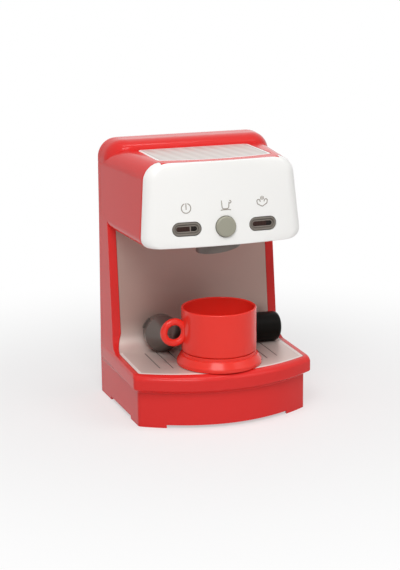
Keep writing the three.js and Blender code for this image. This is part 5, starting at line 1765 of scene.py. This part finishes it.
@dataclass
class BatteryBay:
    """The battery door with its grip ridges, and the two cells behind it.

    Low, high and the screw are heights; a layer is a depth and the share of the door's size there; the
    screw's cuts are rods; a groove is its length, its width and its two depths. A cell is its name, its
    place along X, its turn, its start and the two ends of its sleeve.
    """

    half: float = 14.2
    low: float = 67.6
    high: float = 133.3
    corner: float = 1.2
    screw: float = 127.3
    screw_cuts: Line = ((1.6, 60.0, 80.0), (2.9, 73.7, 80.0))
    groove: Row = (16.0, 1.4, 74.4, 80.0)
    groove_heights: Row = (74.0, 77.0, 80.0, 83.0)
    layers: Line = ((72.8, 1), (74.5, 1), (74.85, 0.997), (75, 0.988))
    cell_y: float = 64.9
    cell: Line = ((0, 0, 0), (6.3, 0, 0), (7.1, 0.8, 0.6), (7.1, 47.8, 0.6), (6.3, 48.6, 0.3),
                  (2.7, 48.6, 0.2), (2.7, 50, 0.4), (0, 50, 0))
    cells: tuple = (("left", -7.5, 0.0, 72.2, 73.6, 119.0), ("right", 7.5, math.pi, 118.7, 71.9, 117.3))

    def build(self) -> None:
        """Puts the door and the cells in."""
        half, low, high = self.half, self.low, self.high
        places = ((-half, low), (half, low), (half, high), (-half, high))
        corners = rounded([(*place, self.corner) for place in places], 5, True)
        middle = np.array([0, (low + high) / 2])
        plate = stacked((y, middle + (corners - middle) * k) for y, k in self.layers).tipped()
        length, width, *depths = self.groove
        cuts = [rod(*sizes).laid(0, self.screw) for sizes in self.screw_cuts]
        cuts += [drawn_out(pill(length, width) + np.array([0, z]), *depths).tipped()
                 for z in self.groove_heights]
        Piece("ridged_battery_door", "battery_door", "red_plastic", Finish.RED, ("battery_door",)).made_of(
            Body(plate).minus(*cuts))
        for name, x, turn, start, bottom, top in self.cells:
            body = revolved(rounded(self.cell, 5), 64).moved(shift(x, self.cell_y, start) @ turned("X", turn))
            finish = Sleeve(bottom, top, f"cell_sleeve_{name}")
            Piece(f"{name}_cell", "casing", "cell_blue", finish, (f"battery_{name}",)).made_of(body)


@dataclass
class Crockery:
    """The cup with its ring handle, and its saucer.

    The handle's ring and tube are radii, and trim is the rod that keeps it out of the cup.
    """

    y: float = -33.185
    cup: Line = (
        (0, 64, 0), (27.4, 64, 0.3), (27.4, 61, 0.5), (29.6, 61, 0.6), (29.6, 64, 0.4), (35, 64, 1.8),
        (35, 105, 1.05), (32.8, 105, 1.05), (32.8, 66.4, 2.4), (0, 66.4, 0),
    )
    saucer: Line = (
        (0, 57.7, 0), (31.9, 57.7, 0.5), (32.8, 58.7, 0.5), (37.7, 53.7, 0.5), (37.7, 51.3, 0.2),
        (39.7, 51.3, 0.8), (39.7, 54.7, 0.8), (36.2, 60.7, 0.6), (34.8, 60.7, 0.3), (34.8, 63.7, 0.8),
        (29.9, 63.7, 0.5), (29.9, 59.7, 0.4), (0, 59.7, 0),
    )
    ring: float = 10.0
    tube: float = 3.3
    handle_at: Pair = (-43.6, 84.0)
    trim: Triple = (33.9, 60.0, 110.0)

    def build(self) -> None:
        """Puts the cup and the saucer in."""
        (x, z), y = self.handle_at, self.y
        ring = revolved(arc((self.ring, 0), self.tube, 0, 2 * math.pi, 32)[:-1], 96, True)
        handle = Body(ring.moved(shift(x, y, z) @ TO_BACK)).minus(rod(*self.trim, 96).at(0, y))
        body = Body(revolved(rounded(self.cup, 8), 192).at(0, y)).plus(handle)
        Piece("red_cup", "cup", "red_plastic", Finish.PLAY_RED, ("cup",)).made_of(body)
        Piece("red_saucer", "saucer", "red_plastic", Finish.PLAY_RED, ("saucer",)).made_of(
            revolved(rounded(self.saucer), 192).at(0, y))


@dataclass
class FilterHolder:
    """The filter holder on its side: a metal-grey bowl with a spout, and a black grip.

    Rim is the radius of the bowl's edge and step its widest radius; reach is how far the edge stands past
    the fillet's start. Left is its place along X and back how far its middle lies before that start. Tail
    height is that of the grip's axis where its rounded end starts. The neck, the bowl's room and the
    screw's hole are rods. Turns are angles in degrees; the nose is a radius and its rounding's two sizes.
    """

    casing: Casing
    rim: float = 16.8
    reach: float = 7.5
    step: float = 17.8
    left: float = -40.0
    back: float = 0.5
    tail_height: float = 65.5
    neck: Triple = (6.0, 15.9, 34.0)
    room: Triple = (15.0, -2.0, 8.0)
    screw_hole: Pair = (1.6, 38.0)
    lug_radii: Pair = (15.9, 18.4)
    lug_turns: Pair = (14.0, 50.0)
    lug_heights: Pair = (4.5, 6.5)
    screw_at: float = 39.9
    nose: Triple = (9.9, 2.2, 1.6)
    start: float = 28.6
    tail_start: float = 114.0
    end: float = 118.5
    radius: float = 14.2
    end_round: float = 4.5
    bowl: Line = ((15, 8, 0.3), (16.8, 8, 0.6), (16.8, -2, 0.3), (17.8, -2, 0.4), (17.8, -4, 0.8),
                  (4, -25, 0.4), (2.2, -25, 0.2), (15, -2.2, 1.5))
    spout: Line = ((1.6, -25.3, 0.2), (4, -25.3, 0.3), (4, -27.6, 0.8), (3, -32.3, 0.5), (1.6, -32.3, 0.3))
    swell: tuple[Line, Line] = ((0, 0.06, 0.33, 0.67, 1), (12.1, 12.8, 13.74, 14.2, 14.2))
    bore: Line = ((9.7, 118.5), (9.7, 116.5), (3.4, 116.5), (3.4, 38), (1.6, 38), (1.6, 34.3), (6.3, 34.3),
                  (6.3, 27))
    cap: Line = ((0, 116.8, 0), (9.4, 116.8, 0.2), (9.4, 118.9, 0.9), (6, 119.9, 6), (0, 119.9, 0))

    def place(self) -> Array:
        """Where it lies: the bowl's rim is one gap clear of the fillet, and the grip's end is on the tray.

        Returns:
            The matrix from the bowl's own frame.
        """
        c = self.casing
        rise = c.fillet - math.sqrt(c.fillet**2 - self.reach**2)
        z = c.tray + GAP + max(self.rim + rise, self.step)
        tilt = math.asin((z - self.tail_height) / self.tail_start)
        return shift(self.left, c.fillet_y - self.back, z) @ turned("Y", tilt) @ turned("X", -QUARTER)

    def holder(self) -> Body:
        """The bowl with its neck and its lugs.

        Returns:
            The bowl, in its own frame.
        """
        turns = [[start + math.radians(turn) for turn in self.lug_turns] for start in (0, math.pi)]
        lugs = [drawn_out(sector(*self.lug_radii, *ends, 12), *self.lug_heights) for ends in turns]
        neck = Body(rod(*self.neck, 64).moved(TO_RIGHT)).minus(rod(*self.room, 96))
        radius, end = self.screw_hole
        body = Body(revolved(rounded(self.bowl, 6, True), 128, True)).plus(neck, *lugs)
        return body.minus(rod(radius, self.start, end).moved(TO_RIGHT))

    def grip(self) -> Array:
        """The grip's profile: a rounded nose, a smooth swell from its waist, a rounded end and the bore.

        Returns:
            Radius and height of each point.
        """
        x = np.linspace(0, 1, 40)
        smooth = np.convolve(np.pad(np.interp(x, *self.swell), 4, "edge"), np.ones(9) / 9, "valid")
        body = np.stack([smooth, self.start + x * (self.tail_start - self.start)], 1)
        radius, out, ahead = self.nose
        turn = np.linspace(0, QUARTER, 6)[:-1]
        nose = np.stack([radius + out * np.sin(turn), self.start - ahead * np.cos(turn)], 1)
        tail = [(self.radius - d, z) for d, z in softened(self.end_round, self.end, 9)[1:-1]]
        return np.vstack([nose, body, tail, self.bore])

    def build(self) -> None:
        """Puts its pieces in."""
        lay = self.place()
        along = lay @ TO_RIGHT
        spout = revolved(rounded(self.spout, 5, True), 64, True).moved(lay)
        grip = revolved(self.grip(), 96, True).moved(along)
        for name, slot, finish, node, shape in (
            ("holder_cone_bowl", "dark_grey", Finish.COLLAR, "holder_bowl", self.holder().placed(lay)),
            ("holder_spout", "dark_grey", Finish.COLLAR, "holder_nozzle", spout),
            ("black_holder_grip", "black_plastic", Finish.BLACK, "holder_grip", grip),
            ("black_holder_cap", "black_plastic", Finish.BLACK, "holder_cap",
             revolved(rounded(self.cap)).moved(along)),
        ):
            Piece(name, "filter_holder", slot, finish, (node,)).made_of(shape)
        seat = along @ shift(0, 0, self.screw_at) @ turned("X", math.pi)
        Screws().put("holder_cross_screw", "filter_holder", "holder_screw", Screws.large, seat)


@dataclass
class Inside:
    """The CAD nodes that keep their own mesh, in their new finishes."""

    steel: Sequence[str] = ("contact_plate_low", "contact_plate_high", "contact_coil_left",
                            "contact_coil_right", "speaker_frame", "board_screw_1", "board_screw_2",
                            "board_screw_3", "board_screw_4")

    def build(self) -> None:
        """Gives each node its finish."""
        finishes = {
            "circuit_board": Board(), "power_led": Finish.LAMP, "steam_led": Finish.LAMP,
            "battery_box": Finish.BOX, **dict.fromkeys(self.steel, Steel()), "speaker_cone": Cone(SPEAKER_AT),
            "power_lead_red": Finish.RED_WIRE, "power_lead_black": Finish.BLACK_WIRE,
            "speaker_lead": Finish.GREY_WIRE,
        }
        for name, finish in finishes.items():
            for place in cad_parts[name].material_slots:
                place.material = material_of(finish)
            LOG.info("%s keeps its CAD mesh", name)


# The studio


def stand(data: Any, place: Triple, behind: Array, roll: float = 0.0) -> bpy.types.Object:
    """Puts a lamp or a camera in.

    Args:
        data: The lamp's or the camera's data, whose name it takes.
        place: Where it stands, in metres.
        behind: The direction that its back looks in.
        roll: Its turn about that direction, in radians.

    Returns:
        The new object.
    """
    side = unit(np.cross([0, 0, 1], behind))
    up, c, s = np.cross(behind, side), math.cos(roll), math.sin(roll)
    matrix = np.eye(4)
    matrix[:3] = np.stack([c * side + s * up, -s * side + c * up, behind, place], 1)
    item = bpy.data.objects.new(data.name, data)
    item.matrix_world = Matrix(matrix.tolist())
    bpy.context.scene.collection.objects.link(item)
    return item


@dataclass
class Studio:
    """A pale floor, a pale surround, three soft lamps and a camera at the photograph's angle.

    The camera's azimuth, elevation and roll are in degrees, its place in metres and its lens in
    millimetres. A lamp is its name, its place and what it looks at in metres, its width, its height and
    its power in watts. World light is the strength of the light from all round.
    """

    azimuth: float = -18.262
    elevation: float = 14.173
    roll: float = -0.593
    place: Triple = (-0.4230, -1.2603, 0.4530)
    lens: float = 91.513
    sensor: float = 36.0
    floor_colour: Colour = (0.86, 0.86, 0.86)
    white: Colour = (1.0, 1.0, 1.0)
    world_light: float = 0.22
    rings: Row = (0.3, 0.6, 1.2, 2.5, 6.0, 15.0, 60.0)
    lamps: tuple = (
        ("key_lamp", (-0.5, -1.1, 1.35), (0, 0, 0.12), 0.9, 0.9, 17.0),
        ("fill_lamp", (0.95, -0.85, 1.3), (0, 0, 0.12), 0.9, 0.9, 3.6),
        ("top_lamp", (0.0, -0.1, 1.5), (0, 0, 0.1), 0.8, 0.25, 4.8),
    )

    def camera(self) -> None:
        """Puts the camera in: its back axis comes from the azimuth and the elevation."""
        a, e, r = (math.radians(v) for v in (self.azimuth, self.elevation, self.roll))
        data = bpy.data.cameras.new("camera")
        data.lens, data.sensor_width, data.sensor_fit, data.clip_start = self.lens, self.sensor, "AUTO", 0.05
        behind = np.array([math.sin(a) * math.cos(e), -math.cos(a) * math.cos(e), math.sin(e)])
        bpy.context.scene.camera = stand(data, self.place, behind, r)

    def floor(self) -> None:
        """Puts the floor in: a wide sheet that passes into the plain surround far from the toy."""
        turn, radius = np.linspace(0, 2 * math.pi, 65)[:-1], np.array(self.rings)[:, None]
        grid = np.stack([radius * np.cos(turn), radius * np.sin(turn), 0 * radius * turn], -1)
        mesh = bpy.data.meshes.new("floor")
        mesh.from_pydata(grid.reshape(-1, 3), [], grid_faces(len(radius), 64) + [list(range(64))[::-1]])
        shader = Shader("pale_floor")
        x, y, _ = shader.axes()
        cloud = shader.noise(160.0, 2.0)
        shader.set(
            Base_Color=shader.blend(cloud, tinted(self.floor_colour, 0.985), self.floor_colour),
            Roughness=cloud * 0.1 + 0.6,
            Specular_IOR_Level=0.2,
        )
        far = (x * x + y * y).root().rise(120.0, 520.0)
        plain = shader.value("ShaderNodeEmission", None, {"Color": self.white, "Strength": 1.0})
        factor = (far * 0.5 + 0.5) * shader.looked_at()
        surface = shader.principled.outputs[0]
        mixed = shader.value("ShaderNodeMixShader", None, {0: factor, 1: surface, 2: plain})
        shader.feed(shader.output.inputs["Surface"], mixed)
        mesh.materials.append(shader.material)
        item = bpy.data.objects.new("floor", mesh)
        bpy.context.scene.collection.objects.link(item)

    def build(self) -> None:
        """Sets the scene up."""
        scene = bpy.context.scene
        scene.view_settings.view_transform = "Standard"
        scene.world = bpy.data.worlds.new("surround")
        scene.world.use_nodes = True
        sky = Shader(scene.world)
        dim, plain = (sky.value("ShaderNodeBackground", None, {"Color": self.white, "Strength": level})
                      for level in (self.world_light, 1.0))
        mixed = sky.value("ShaderNodeMixShader", None, {0: sky.looked_at(), 1: dim, 2: plain})
        sky.node("ShaderNodeOutputWorld", None, {"Surface": mixed})
        self.floor()
        for name, place, aim, width, height, power in self.lamps:
            data = bpy.data.lights.new(name, "AREA")
            data.shape, data.size, data.size_y, data.energy = "RECTANGLE", width, height, power
            stand(data, place, unit(np.array(place) - np.array(aim)))
        self.camera()


def main() -> None:
    """Builds the sub-assemblies in order."""
    logging.basicConfig(level=logging.INFO, format="%(name)s: %(message)s")
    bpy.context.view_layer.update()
    casing = Casing()
    for part in (Housing(casing), Tray(casing), TopPlate(), FrontPanel(casing), Collar(), Controls(casing),
                 BatteryBay(), Screws(), Crockery(), FilterHolder(casing), Inside(), Studio()):
        part.build()
        LOG.info("%s built", type(part).__name__)


if __name__ == "__main__":
    main()
